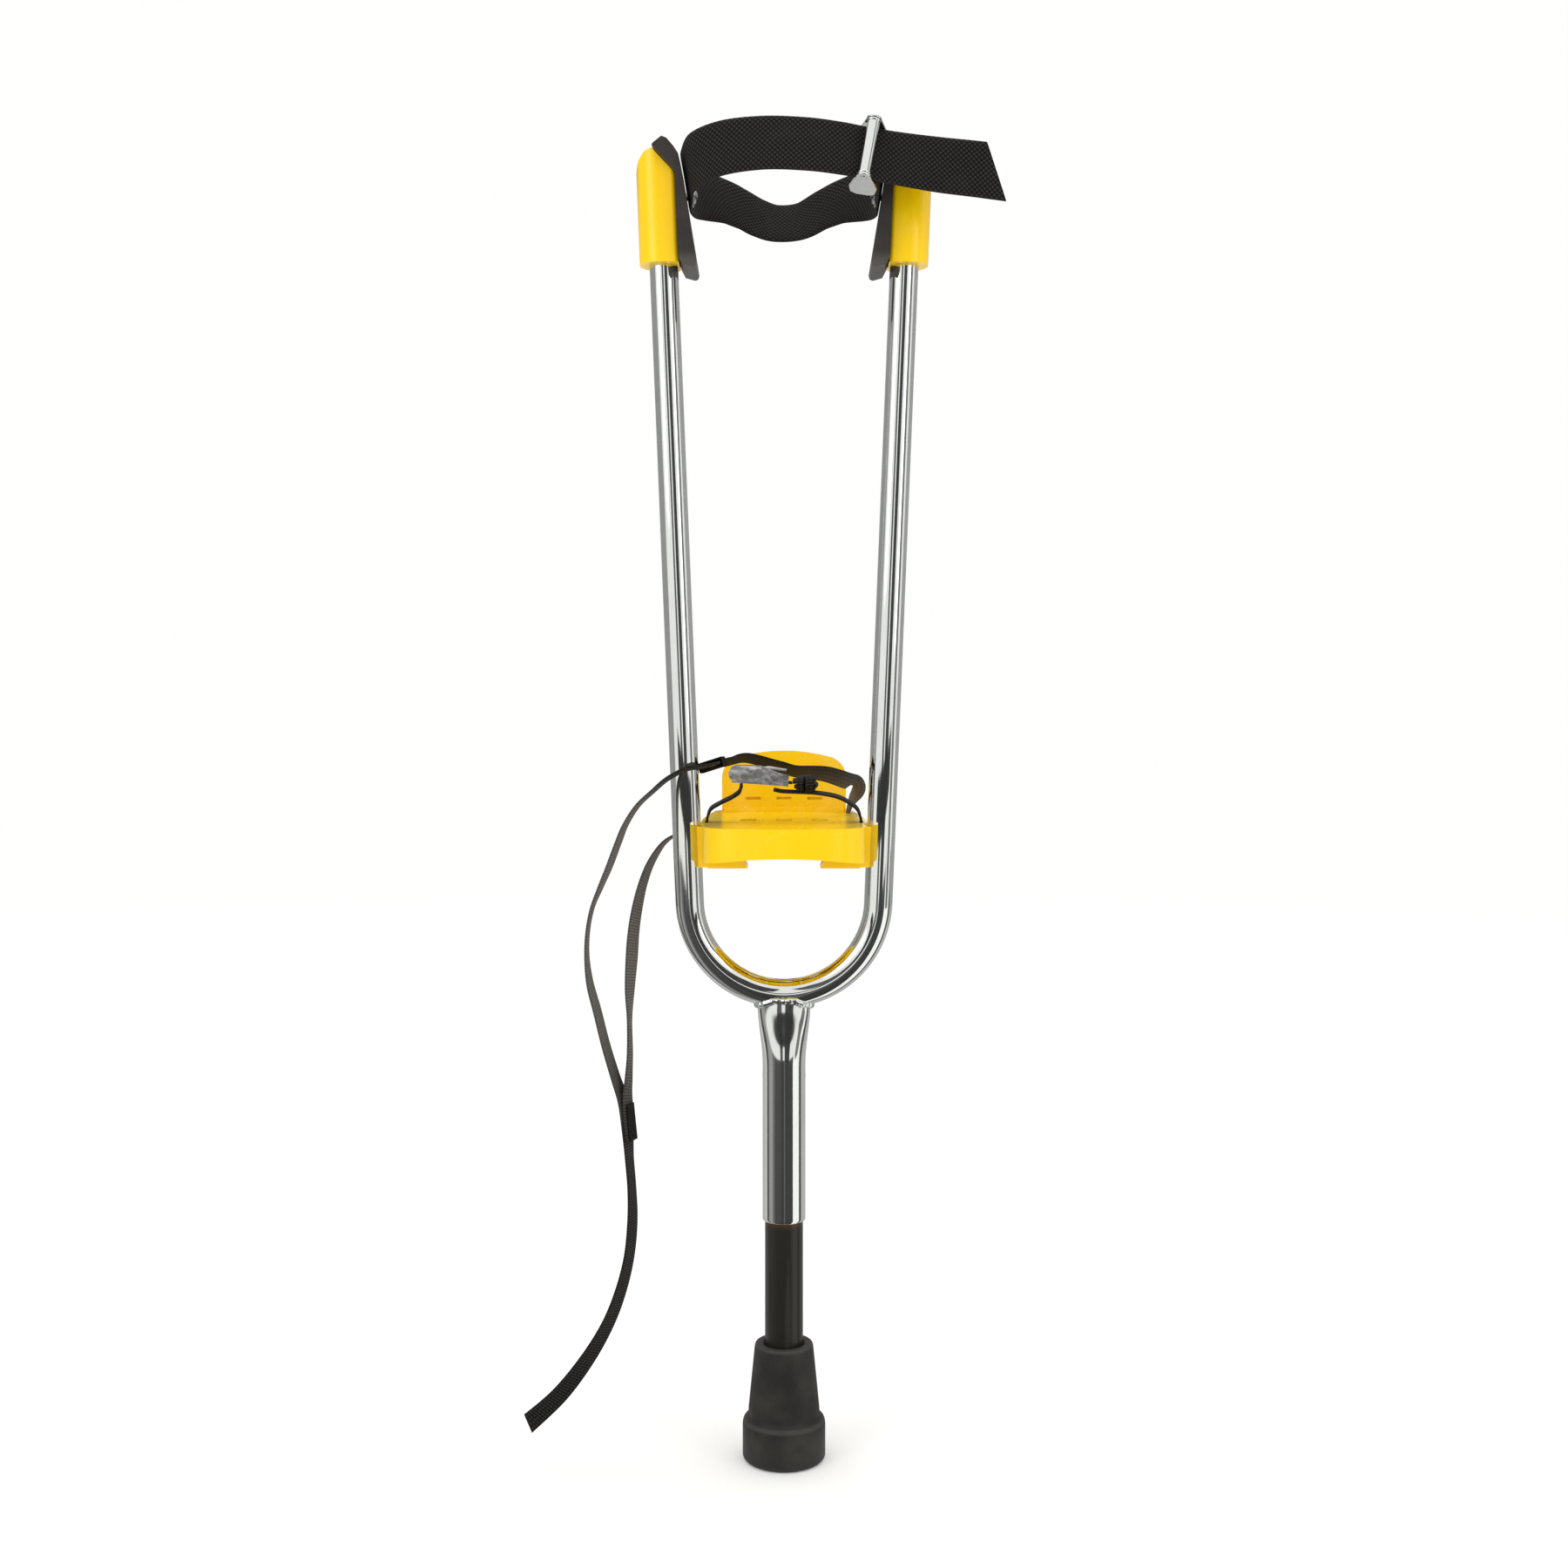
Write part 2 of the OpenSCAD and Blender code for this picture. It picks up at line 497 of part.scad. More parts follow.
// The buckle sits on the strap, leaning back with it.
module at_calf_buckle() translate([54, -50, 853]) rotate([-15, 0, 0]) rotate([0, 10, 0])
    children();
roller_y = -6.6;
module calf_buckle() color(chrome) at_calf_buckle() {
    for (s = [-1, 1]) translate([0, 0, s * 20.9 - 0.8]) linear_extrude(1.6) difference() {
        union() {
            translate([0, roller_y]) circle(4.8);
            polygon([[-4.8, roller_y], [4.8, roller_y], [9, 6], [8, 12], [4, 14], [-4, 14],
                [-8, 12], [-9, 6]]);
        }
        translate([0, roller_y]) circle(1.8);
    }
    translate([0, 8.6, 0]) cylinder(r = 2.2, h = 40.3, center = true);
}
module calf_roller() color(chrome) at_calf_buckle() translate([0, roller_y, 0]) {
    cylinder(r = 4, h = 39.6, center = true);
    cylinder(r = 1.74, h = 44.4, center = true);
    for (s = [-1, 1]) translate([0, 0, s * 19.1]) cylinder(r = 4.5, h = 1.4, center = true);
}

// ---------- toe strap ----------

module toe_strap_left() color(webbing) band(toe_left_route, band_w, band_t, [0, 1, 0]);
module toe_strap_right() color(webbing) band(toe_right_route, band_w, band_t, [0, 1, 0]);
module toe_strap_knot() color(webbing) band(knot_route, band_w - 2, band_t, [0, 1, 0]);
module toe_strap_under() color(webbing) band(toe_under_route, band_w, band_t, [0, 1, 0]);
module at_toe_buckle() translate([-16.7, 15, 453.2]) rotate([0, 4, 0]) children();
pivot = [-0.6, 0, 1.4];
module toe_cheek() rotate([90, 0, 0]) linear_extrude(1) difference() {
    union() {
        translate([-15, 0.2]) circle(5.6);
        polygon([[-15, -5.4], [20, -6], [20, 1.2], [12, 3.2], [4, 6], [-2, 6.2], [-15, 5.8]]);
    }
    translate([pivot[0], pivot[2]]) circle(2.2);
}
module toe_buckle() color(chrome) at_toe_buckle() {
    translate([0, -8, 0]) toe_cheek();
    translate([0, 9, 0]) toe_cheek();
    difference() {
        translate([-18, -8 - eps, -5.8]) cube([38, 16 + 2 * eps, 1]);
        translate([-13.8, -7.9, -7]) cube([4.4, 15.8, 3]);
    }
}
module toe_pin() color(steel) at_toe_buckle() translate(pivot) rotate([90, 0, 0]) {
    cylinder(r = 2.2, h = 18, center = true);
    for (s = [-1, 1]) translate([0, 0, s * 9.5]) cylinder(r = 3.2, h = 1, center = true);
}
module toe_lever() color(chrome) at_toe_buckle() translate([pivot[0], 7.7, pivot[2]])
    rotate([90, 0, 0]) linear_extrude(15.4) difference() {
        union() {
            circle(3.7);
            polygon([[-1.5, 3.2], [2.6, 2.4], [7, 3.2], [18.4, 2.8], [18.8, 4.2], [7, 5.4],
                [2, 4.6]]);
        }
        circle(2.26);
    }

// ---------- ankle strap ----------

module ankle_strap_long() color(webbing) band(long_route, band_w, band_t, [0, 1, 0], 1);
module ankle_strap_short() color(webbing) band(short_route, band_w, band_t, [0, 1, 0], 1);
module ankle_strap_under() color(webbing) band(under_route, band_w, band_t, [0, 1, 0]);
// The stitched patch over the place where the strap's two runs join.
module ankle_stitching() color(webbing)
    band([[-102, -3.2, 236, 18], [-100.8, -4.2, 222, 21], [-99.7, -4.8, 212, 21]], 11, 1,
        [0, 1, 0]);
// A short tie knotted round the strap beside the left leg.
module ankle_tie() color(webbing) translate([-48, 4.5, 460.5]) rotate([0, 0, 68])
    rotate([-17, 0, 0]) difference() {
        translate([-3, -9.2, -3.4]) cube([6, 18.4, 6.8]);
        translate([-4, -8.3, -1.7]) cube([8, 16.6, 3.4]);
    }

frame_tube();
sleeve();
sleeve_head();
weld_bead();
spring_rod();
rod_pin();
main_spring();
plunger_tube();
plunger_collar();
stop_collar();
collar_pin();
spring_plug();
plug_pin();
rubber_foot();
foot_washer();
deck();
heel_cup();
heel_screws();
deck_screws();
deck_washers();
frame_inserts();
cap_left();
cap_right();
pad_left();
pad_right();
pad_rivets();
rivet_washers();
calf_strap();
calf_buckle();
calf_roller();
toe_strap_left();
toe_strap_right();
toe_strap_knot();
toe_strap_under();
toe_buckle();
toe_pin();
toe_lever();
ankle_strap_long();
ankle_strap_short();
ankle_strap_under();
ankle_stitching();
ankle_tie();
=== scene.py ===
"""Sprung jumping stilt for one leg: its visual model, lit on a plain pale floor.

Metres. Z is up from the ground, X is across and the toe points to -Y. The hard parts take
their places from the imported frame; the webbing, tubes, foot and pads get finer surfaces here.
"""

import logging
from dataclasses import dataclass
from enum import Enum
from typing import Any, Sequence

import bpy
import numpy as np
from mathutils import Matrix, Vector

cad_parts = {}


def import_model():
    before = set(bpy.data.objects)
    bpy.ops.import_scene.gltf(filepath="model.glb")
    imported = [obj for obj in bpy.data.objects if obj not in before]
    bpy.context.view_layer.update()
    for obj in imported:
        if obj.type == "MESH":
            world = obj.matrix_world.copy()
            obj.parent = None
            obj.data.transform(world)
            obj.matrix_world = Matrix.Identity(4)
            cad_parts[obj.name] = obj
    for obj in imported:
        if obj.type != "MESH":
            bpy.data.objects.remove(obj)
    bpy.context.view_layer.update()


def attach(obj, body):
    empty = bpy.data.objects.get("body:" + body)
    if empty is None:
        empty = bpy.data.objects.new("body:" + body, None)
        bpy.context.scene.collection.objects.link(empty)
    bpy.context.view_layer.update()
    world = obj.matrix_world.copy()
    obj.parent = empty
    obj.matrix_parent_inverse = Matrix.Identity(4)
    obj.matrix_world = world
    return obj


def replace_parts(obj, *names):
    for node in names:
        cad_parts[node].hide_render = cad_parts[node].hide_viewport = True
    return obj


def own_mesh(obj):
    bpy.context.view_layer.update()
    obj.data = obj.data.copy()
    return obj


LOG = logging.getLogger("stilt")
MM = 0.001
Socket = Any


# ---------- shader maths ----------


class Term:
    """A value socket of a material that takes part in Python sums."""

    def __init__(self, tree: "Tree", out: Socket) -> None:
        """Wraps an output socket of a tree."""
        self.tree = tree
        self.out = out

    def _math(self, operation: str, *values: Any) -> "Term":
        """Adds one Math node and returns its result."""
        return self.tree.node("ShaderNodeMath", {"operation": operation}, list(values))

    def __add__(self, other: Any) -> "Term":
        """Sum."""
        return self._math("ADD", self, other)

    __radd__ = __add__

    def __sub__(self, other: Any) -> "Term":
        """Difference."""
        return self._math("SUBTRACT", self, other)

    def __rsub__(self, other: Any) -> "Term":
        """Difference the other way round, so that 1 - mask works."""
        return self._math("SUBTRACT", other, self)

    def __mul__(self, other: Any) -> "Term":
        """Product."""
        return self._math("MULTIPLY", self, other)

    __rmul__ = __mul__

    def __truediv__(self, other: Any) -> "Term":
        """Quotient."""
        return self._math("DIVIDE", self, other)

    def wave(self) -> "Term":
        """Sine of the value, in radians."""
        return self._math("SINE", self)

    def size(self) -> "Term":
        """The value without its sign."""
        return self._math("ABSOLUTE", self)

    def step(self, low: float, high: float) -> "Term":
        """Rises smoothly from 0 at low to 1 at high.

        Args:
            low: The value at which the result starts to rise.
            high: The value at which the result reaches 1.

        Returns:
            The smooth step.
        """
        return self.tree.node(
            "ShaderNodeMapRange",
            {"interpolation_type": "SMOOTHSTEP"},
            [self, low, high, 0.0, 1.0],
        )


class Tree:
    """Builds the nodes of one material."""

    def __init__(self, name: str) -> None:
        """Makes the material and finds its shader."""
        self.material = bpy.data.materials.new(name)
        self.material.use_nodes = True
        self.nodes = self.material.node_tree.nodes
        self.links = self.material.node_tree.links
        self.shader = self.nodes["Principled BSDF"]

    def node(self, kind: str, settings: dict[str, Any], inputs: Any, output: Any = 0) -> Term:
        """Adds a node.

        Args:
            kind: The node's type.
            settings: Its own settings, which are set before its sockets.
            inputs: Values or links of its sockets, as a list in order or as a dict by name.
            output: The output to return, by place or name.

        Returns:
            The chosen output.
        """
        made = self.nodes.new(kind)
        for key, value in settings.items():
            setattr(made, key, value)
        pairs = inputs.items() if isinstance(inputs, dict) else enumerate(inputs)
        for key, value in pairs:
            self.feed(made.inputs[key], value)
        return Term(self, made.outputs[output])

    def feed(self, socket: Socket, value: Any) -> None:
        """Links a term to a socket, or sets the socket to a plain value."""
        if isinstance(value, Term):
            self.links.new(value.out, socket)
        elif value is not None:
            socket.default_value = value

    def places(self) -> Term:
        """Object coordinates."""
        return self.node("ShaderNodeTexCoord", {}, [], "Object")

    def axis(self, name: str) -> Term:
        """One of X, Y and Z of the place on the object."""
        return self.node("ShaderNodeSeparateXYZ", {}, [self.places()], name)

    def chart(self, name: str) -> Term:
        """U or V of the piece's own map, in metres along and across it."""
        uv = self.node("ShaderNodeUVMap", {"uv_map": "run"}, [], "UV")
        return self.node("ShaderNodeSeparateXYZ", {}, [uv], "X" if name == "U" else "Y")

    def noise(self, scale: float, detail: float = 3.0, stretch: Sequence[float] = (1, 1, 1)) -> Term:
        """Noise from 0 to 1.

        Args:
            scale: How fine it is, in waves a metre.
            detail: How many finer layers it has.
            stretch: How much finer it is along each axis.

        Returns:
            The noise value.
        """
        placed = self.node("ShaderNodeMapping", {}, {"Vector": self.places(), "Scale": stretch})
        return self.node(
            "ShaderNodeTexNoise", {}, {"Vector": placed, "Scale": scale, "Detail": detail}, 0
        )

    def blend(self, mask: Any, a: Any, b: Any) -> Term:
        """Mixes colour a towards colour b by mask."""
        made = self.nodes.new("ShaderNodeMix")
        made.data_type = "RGBA"
        self.feed(made.inputs[0], mask)
        self.feed(made.inputs[6], a)
        self.feed(made.inputs[7], b)
        return Term(self, made.outputs[2])

    def bump(self, height: Term, depth: float, strength: float = 1.0) -> None:
        """Raises the surface by height times depth, in metres."""
        lifted = self.node(
            "ShaderNodeBump", {}, {"Height": height, "Distance": depth, "Strength": strength}
        )
        self.feed(self.shader.inputs["Normal"], lifted)

    def set(self, **values: Any) -> bpy.types.Material:
        """Sets or links the shader's sockets, named with underscores for spaces."""
        for key, value in values.items():
            self.feed(self.shader.inputs[key.replace("_", " ")], value)
        return self.material


Colour = tuple[float, float, float, float]


# ---------- finishes ----------


@dataclass(frozen=True)
class Chrome:
    """Bright plating over steel, with faint wiping marks and a little haze."""

    name: str
    tint: Colour = (0.77, 0.785, 0.76, 1)
    haze: float = 0.05
    pits: float = 0.0
    pit_scale: float = 420.0

    def make(self) -> bpy.types.Material:
        """Returns the material."""
        t = Tree(self.name)
        cloud = t.noise(38, 4)
        wipe = t.noise(160, 2, (1, 1, 0.05))
        shade = t.blend(cloud.step(0.42, 0.75) * 0.5, self.tint, (0.70, 0.71, 0.69, 1))
        rough = self.haze + 0.05 * cloud.step(0.5, 0.8) + 0.03 * wipe.step(0.5, 0.7)
        if self.pits:
            t.bump(t.noise(self.pit_scale, 3), self.pits)
        return t.set(Base_Color=shade, Roughness=rough, Metallic=1.0)


@dataclass(frozen=True)
class PlainSteel:
    """Zinc-plated or bare steel of fasteners and inner parts."""

    name: str
    tint: Colour = (0.56, 0.56, 0.55, 1)
    rough: float = 0.28

    def make(self) -> bpy.types.Material:
        """Returns the material."""
        t = Tree(self.name)
        grain = t.noise(300, 4)
        shade = t.blend(grain.step(0.4, 0.7), self.tint, tuple(0.8 * c for c in self.tint[:3]) + (1,))
        t.bump(grain, 0.00004)
        return t.set(Base_Color=shade, Roughness=self.rough + 0.14 * grain, Metallic=1.0)


@dataclass(frozen=True)
class StovedBlack:
    """Semi-gloss black paint on the plunger, rubbed faintly along its length."""

    name: str
    top: float = 0.158

    def make(self) -> bpy.types.Material:
        """Returns the material."""
        t = Tree(self.name)
        rub = t.noise(220, 3, (1, 1, 0.04)).step(0.5, 0.75)
        peel = t.noise(500, 2)
        shade = t.blend(rub * 0.55, (0.017, 0.015, 0.012, 1), (0.034, 0.030, 0.026, 1))
        ring = t.axis("Z").step(self.top - 0.004, self.top - 0.0005)
        shade = t.blend(ring * 0.7, shade, (0.07, 0.03, 0.012, 1))
        t.bump(peel, 0.00003)
        return t.set(Base_Color=shade, Roughness=0.30 + 0.12 * rub, Specular_IOR_Level=0.3)


@dataclass(frozen=True)
class FootRubber:
    """Dull charcoal rubber with a dusty bloom, rubbed paler on its edges."""

    name: str
    rims: tuple[float, ...] = (0.0262, 0.0762)

    def make(self) -> bpy.types.Material:
        """Returns the material."""
        t = Tree(self.name)
        bloom = t.noise(45, 5)
        speck = t.noise(900, 3)
        shade = t.blend(bloom.step(0.38, 0.72), (0.017, 0.015, 0.013, 1), (0.032, 0.029, 0.025, 1))
        height = t.axis("Z")
        for rim in self.rims:
            near = 1 - (height - rim).size().step(0.0004, 0.0022)
            shade = t.blend(near * (0.15 + 0.4 * speck), shade, (0.085, 0.08, 0.074, 1))
        low = 1 - height.step(0.0, 0.004)
        shade = t.blend(low * 0.3, shade, (0.06, 0.056, 0.052, 1))
        t.bump(speck * 0.7 + bloom * 0.6, 0.00012)
        return t.set(Base_Color=shade, Roughness=0.50 + 0.16 * bloom, Specular_IOR_Level=0.25)


@dataclass(frozen=True)
class PadRubber:
    """Smooth dark grey moulded rubber of the calf pads, with painted light: below 0.79 m high they are
    painted paler.
    """

    name: str

    def make(self) -> bpy.types.Material:
        """Returns the material."""
        t = Tree(self.name)
        bloom = t.noise(30, 4)
        grain = t.noise(1100, 2)
        shade = t.blend(bloom.step(0.35, 0.7), (0.026, 0.022, 0.020, 1), (0.042, 0.036, 0.032, 1))
        # Painted light: below 0.79 m the pads are painted half-way to pale grey, standing in for light
        # on their lower ends.
        low = 1 - t.axis("Z").step(0.790, 0.800)
        shade = t.blend(low * 0.5, shade, (0.12, 0.108, 0.10, 1))
        t.bump(grain, 0.00005)
        return t.set(Base_Color=shade, Roughness=0.42 + 0.1 * bloom, Specular_IOR_Level=0.28)


@dataclass(frozen=True)
class Thread:
    """Tight black stitching and wound thread, with fine strands across it."""

    name: str

    def make(self) -> bpy.types.Material:
        """Returns the material. Strands are a sine wave along Z, bent by noise."""
        t = Tree(self.name)
        stray = t.noise(700, 4)
        strand = (t.axis("Z") * 6500 + stray * 9).wave() * 0.5 + 0.5
        shade = t.blend(strand * stray, (0.004, 0.003, 0.003, 1), (0.045, 0.039, 0.034, 1))
        t.bump(strand + stray, 0.0003)
        return t.set(Base_Color=shade, Roughness=0.7 + 0.1 * stray, Specular_IOR_Level=0.1)


@dataclass(frozen=True)
class GlossYellow:
    """Glossy moulded yellow plastic with faint flow and scuffs."""

    name: str
    body: Colour = (0.95, 0.61, 0.002, 1)
    warm: Colour = (0.93, 0.50, 0.001, 1)

    def make(self) -> bpy.types.Material:
        """Returns the material."""
        t = Tree(self.name)
        flow = t.noise(9, 2)
        scuff = t.noise(150, 5, (1, 0.2, 1)).step(0.56, 0.72)
        shade = t.blend(flow.step(0.4, 0.8) * 0.25, self.body, self.warm)
        t.bump(t.noise(70, 2), 0.00006)
        return t.set(
            Base_Color=shade,
            Roughness=0.20 + 0.14 * scuff,
            Specular_IOR_Level=0.35,
            Subsurface_Weight=0.08,
            Subsurface_Radius=(0.9, 0.45, 0.08),
            Subsurface_Scale=0.003,
            Coat_Weight=0.10,
            Coat_Roughness=0.08,
        )


class Weave(Enum):
    """How a band of webbing is woven."""

    RIBS = "ribs"
    BASKET = "basket"


@dataclass(frozen=True)
class Webbing:
    """Woven band: ribs across it, or rows of staggered yarns, with dark gaps between them."""

    name: str
    pitch: float
    width: float
    weave: Weave = Weave.RIBS
    dark: Colour = (0.003, 0.0025, 0.002, 1)
    light: Colour = (0.036, 0.031, 0.027, 1)
    pale: float = 0.0

    def make(self) -> bpy.types.Material:
        """Returns the material. Yarns are the product of two sine waves along and across."""
        t = Tree(self.name)
        along, across = t.chart("U"), t.chart("V")
        turn = 2 * np.pi / self.pitch
        if self.weave is Weave.BASKET:
            bend = t.noise(24, 1) * 1.6
            yarn_height = (along * turn + bend).wave() * (across * turn).wave() * 0.5 + 0.5
        else:
            rib = (along * turn).wave() * 0.5 + 0.5
            yarn = (across * (turn * 0.55) + (along * (turn * 0.5)).wave() * 0.8).wave() * 0.5 + 0.5
            yarn_height = rib * 0.65 + yarn * 0.35
        fuzz = t.noise(2600, 4)
        wear = t.noise(55, 4)
        shade = t.blend(yarn_height.step(0.35, 0.95), self.dark, self.light)
        shade = t.blend(wear.step(0.5, 0.8) * 0.2, shade, (0.030, 0.026, 0.023, 1))
        # A fade by height painted into the colour: paler between 0.19 m and 0.46 m high, most on raised
        # yarns.
        if self.pale:
            high = t.axis("Z").step(0.19, 0.30) * (1 - t.axis("Z").step(0.43, 0.46)) * self.pale
            shade = t.blend(high * (0.45 + 0.55 * yarn_height), shade, (0.26, 0.24, 0.22, 1))
        edge = across.size().step(self.width * 0.43, self.width * 0.5)
        shade = t.blend(edge * 0.3, shade, (0.03, 0.027, 0.024, 1))
        t.bump(yarn_height + fuzz * 0.35, 0.00035)
        return t.set(
            Base_Color=shade,
            Roughness=0.60 + 0.2 * fuzz,
            Specular_IOR_Level=0.12,
            Sheen_Weight=0.03,
            Sheen_Roughness=0.5,
        )


# ---------- shapes ----------


def put_mesh(
    name: str, points: np.ndarray, faces: list[tuple[int, ...]], material: bpy.types.Material,
    chart: np.ndarray | None = None, smooth: bool = True,
) -> bpy.types.Object:
    """Makes an object of points and faces.

    Args:
        name: The object's name.
        points: One row of X, Y and Z for each vertex, in metres.
        faces: The vertices of each face, turning left seen from outside.
        material: Its finish.
        chart: One row of U and V for each vertex, in metres.
        smooth: Whether its faces are shaded smoothly.

    Returns:
        The object, linked to the scene.
    """
    mesh = bpy.data.meshes.new(name)
    mesh.from_pydata(points.tolist(), [], faces)
    mesh.polygons.foreach_set("use_smooth", np.full(len(mesh.polygons), smooth))
    if chart is not None:
        corner = np.zeros(len(mesh.loops), np.int32)
        mesh.loops.foreach_get("vertex_index", corner)
        layer = mesh.uv_layers.new(name="run")
        layer.data.foreach_set("uv", chart[corner].astype(np.float32).ravel())
    mesh.materials.append(material)
    mesh.update()
    made = bpy.data.objects.new(name, mesh)
    bpy.context.scene.collection.objects.link(made)
    return made


def grid_faces(rings: int, around: int, ends: bool = True, loop: bool = False) -> list[tuple[int, ...]]:
    """Faces of a grid that closes on itself around, and along too if loop is set."""
    steps = rings if loop else rings - 1
    i, k = np.meshgrid(np.arange(steps), np.arange(around), indexing="ij")
    j, n = (i + 1) % rings, (k + 1) % around
    quads = np.stack([i * around + k, i * around + n, j * around + n, j * around + k], -1)
    faces = [tuple(q) for q in quads.reshape(-1, 4).tolist()]
    if ends and not loop:
        faces.append(tuple(range(around - 1, -1, -1)))
        faces.append(tuple(range((rings - 1) * around, rings * around)))
    return faces


def smooth_route(route: Sequence[Sequence[float]], fine: int) -> np.ndarray:
    """Points of the smooth curve through a route, fine steps to each of its parts.

    Each part is the cubic that leaves a point along the line between its two neighbours.
    """
    base = np.asarray(route, float)
    count = len(base)
    t = np.linspace(0, count - 1, (count - 1) * fine + 1)
    i = np.minimum(t.astype(int), count - 2)
    u = (t - i)[:, None]
    a, b = base[np.maximum(i - 1, 0)], base[i]
    c, d = base[i + 1], base[np.minimum(i + 2, count - 1)]
    return 0.5 * (
        2 * b + (c - a) * u + (2 * a - 5 * b + 4 * c - d) * u**2 + (3 * b - a - 3 * c + d) * u**3
    )


def unit(v: np.ndarray) -> np.ndarray:
    """Rows scaled to a length of one."""
    return v / np.maximum(np.linalg.norm(v, axis=-1, keepdims=True), 1e-12)


def frames(line: np.ndarray, turn: np.ndarray, up: Sequence[float]) -> tuple[np.ndarray, ...]:
    """The run, the width and the thickness directions at each point of a line.

    The width is up made square to the run, then turned about the run by turn degrees.
    """
    go = unit(np.gradient(line, axis=0))
    rest = unit(np.asarray(up, float) - (go @ np.asarray(up, float))[:, None] * go)
    side = np.cross(go, rest)
    angle = np.radians(turn)[:, None]
    wide = np.cos(angle) * rest + np.sin(angle) * side
    return go, wide, np.cross(go, wide)


@dataclass
class Band:
    """A woven flat band carried along a route."""

    name: str
    route: Sequence[Sequence[float]]
    width: float
    thick: float
    up: tuple[float, float, float]
    fine: int = 10
    slant: tuple[float, float] = (0.0, 0.0)

    def line(self) -> np.ndarray:
        """The band's centre-line, in metres."""
        return smooth_route(self.route, self.fine)[:, :3] * MM

    def length(self) -> float:
        """The length of the centre-line."""
        return float(np.linalg.norm(np.diff(self.line(), axis=0), axis=1).sum())

    def build(self, material: bpy.types.Material, trim: float = 0.0) -> bpy.types.Object:
        """Sweeps the section along the route.

        The section is a rectangle with rounded edges, cut at 20 places round; its ends may
        slant, by moving each edge along the run in proportion to its place across.

        Args:
            material: The webbing.
            trim: How much is cut off the end of the route.

        Returns:
            The band.
        """
        path = smooth_route(self.route, self.fine)
        left = np.cumsum(np.linalg.norm(np.diff(path[::-1, :3], axis=0), axis=1))[::-1]
        path = path[np.append(left, 0) * MM >= trim]
        line = path[:, :3] * MM
        go, wide, deep = frames(line, path[:, 3], self.up)
        w, h = self.width / 2, self.thick / 2
        across = np.array([-1, -0.96, -0.8, -0.5, -0.17, 0.17, 0.5, 0.8, 0.96, 1]) * w
        lift = np.array([0.35, 0.85, 1, 1, 1, 1, 1, 1, 0.85, 0.35]) * h
        x = np.concatenate([across, across[::-1]])
        y = np.concatenate([-lift, lift[::-1]])
        run = np.concatenate([[0], np.cumsum(np.linalg.norm(np.diff(line, axis=0), axis=1))])
        fall = np.exp(-run / 0.012), np.exp((run - run[-1]) / 0.012)
        shift = (fall[0] * self.slant[0] + fall[1] * self.slant[1])[:, None] * (x / w)[None]
        points = (
            line[:, None]
            + wide[:, None] * x[None, :, None]
            + deep[:, None] * y[None, :, None]
            + go[:, None] * shift[..., None]
        )
        chart = np.stack([run[:, None] + shift, np.broadcast_to(x, (len(run), 20))], -1)
        return put_mesh(
            self.name, points.reshape(-1, 3), grid_faces(len(run), 20), material,
            chart.reshape(-1, 2),
        )


def turned(
    name: str, profile: Sequence[tuple[float, float]], material: bpy.types.Material,
    around: int = 72, bend: int = 5, corner: float = 1.0, hollow: bool = False,
) -> bpy.types.Object:
    """A solid of revolution about Z.

    Each corner of the profile is rounded by a parabola between points one corner size away
    along its two sides; the result is turned round Z and closed at both ends.

    Args:
        name: The object's name.
        profile: Radius and height of each corner, in millimetres, from low to high outside.
        material: Its finish.
        around: How many sides the circle has.
        bend: How many points each corner gets.
        corner: How far from a corner its rounding starts, in millimetres.
        hollow: Whether the profile comes back to its first point, which leaves a bore.

    Returns:
        The object.
    """
    p = np.asarray(profile, float)
    before, after = np.diff(p, axis=0)[:-1], np.diff(p, axis=0)[1:]
    reach_b = np.minimum(corner, np.linalg.norm(before, axis=1, keepdims=True) * 0.45)
    reach_a = np.minimum(corner, np.linalg.norm(after, axis=1, keepdims=True) * 0.45)
    start, end = p[1:-1] - unit(before) * reach_b, p[1:-1] + unit(after) * reach_a
    s = np.linspace(0, 1, bend)[None, :, None]
    arcs = (1 - s) ** 2 * start[:, None] + 2 * s * (1 - s) * p[1:-1][:, None] + s**2 * end[:, None]
    line = np.concatenate([p[:1], arcs.reshape(-1, 2), p[-1:]][: 2 if hollow else 3]) * MM
    angle = np.arange(around) * 2 * np.pi / around
    rings = np.stack(
        [line[:, :1] * np.cos(angle), line[:, :1] * np.sin(angle),
         np.broadcast_to(line[:, 1:], (len(line), around))], -1
    )
    faces = grid_faces(len(line), around, loop=hollow)
    return put_mesh(name, rings.reshape(-1, 3), faces, material)


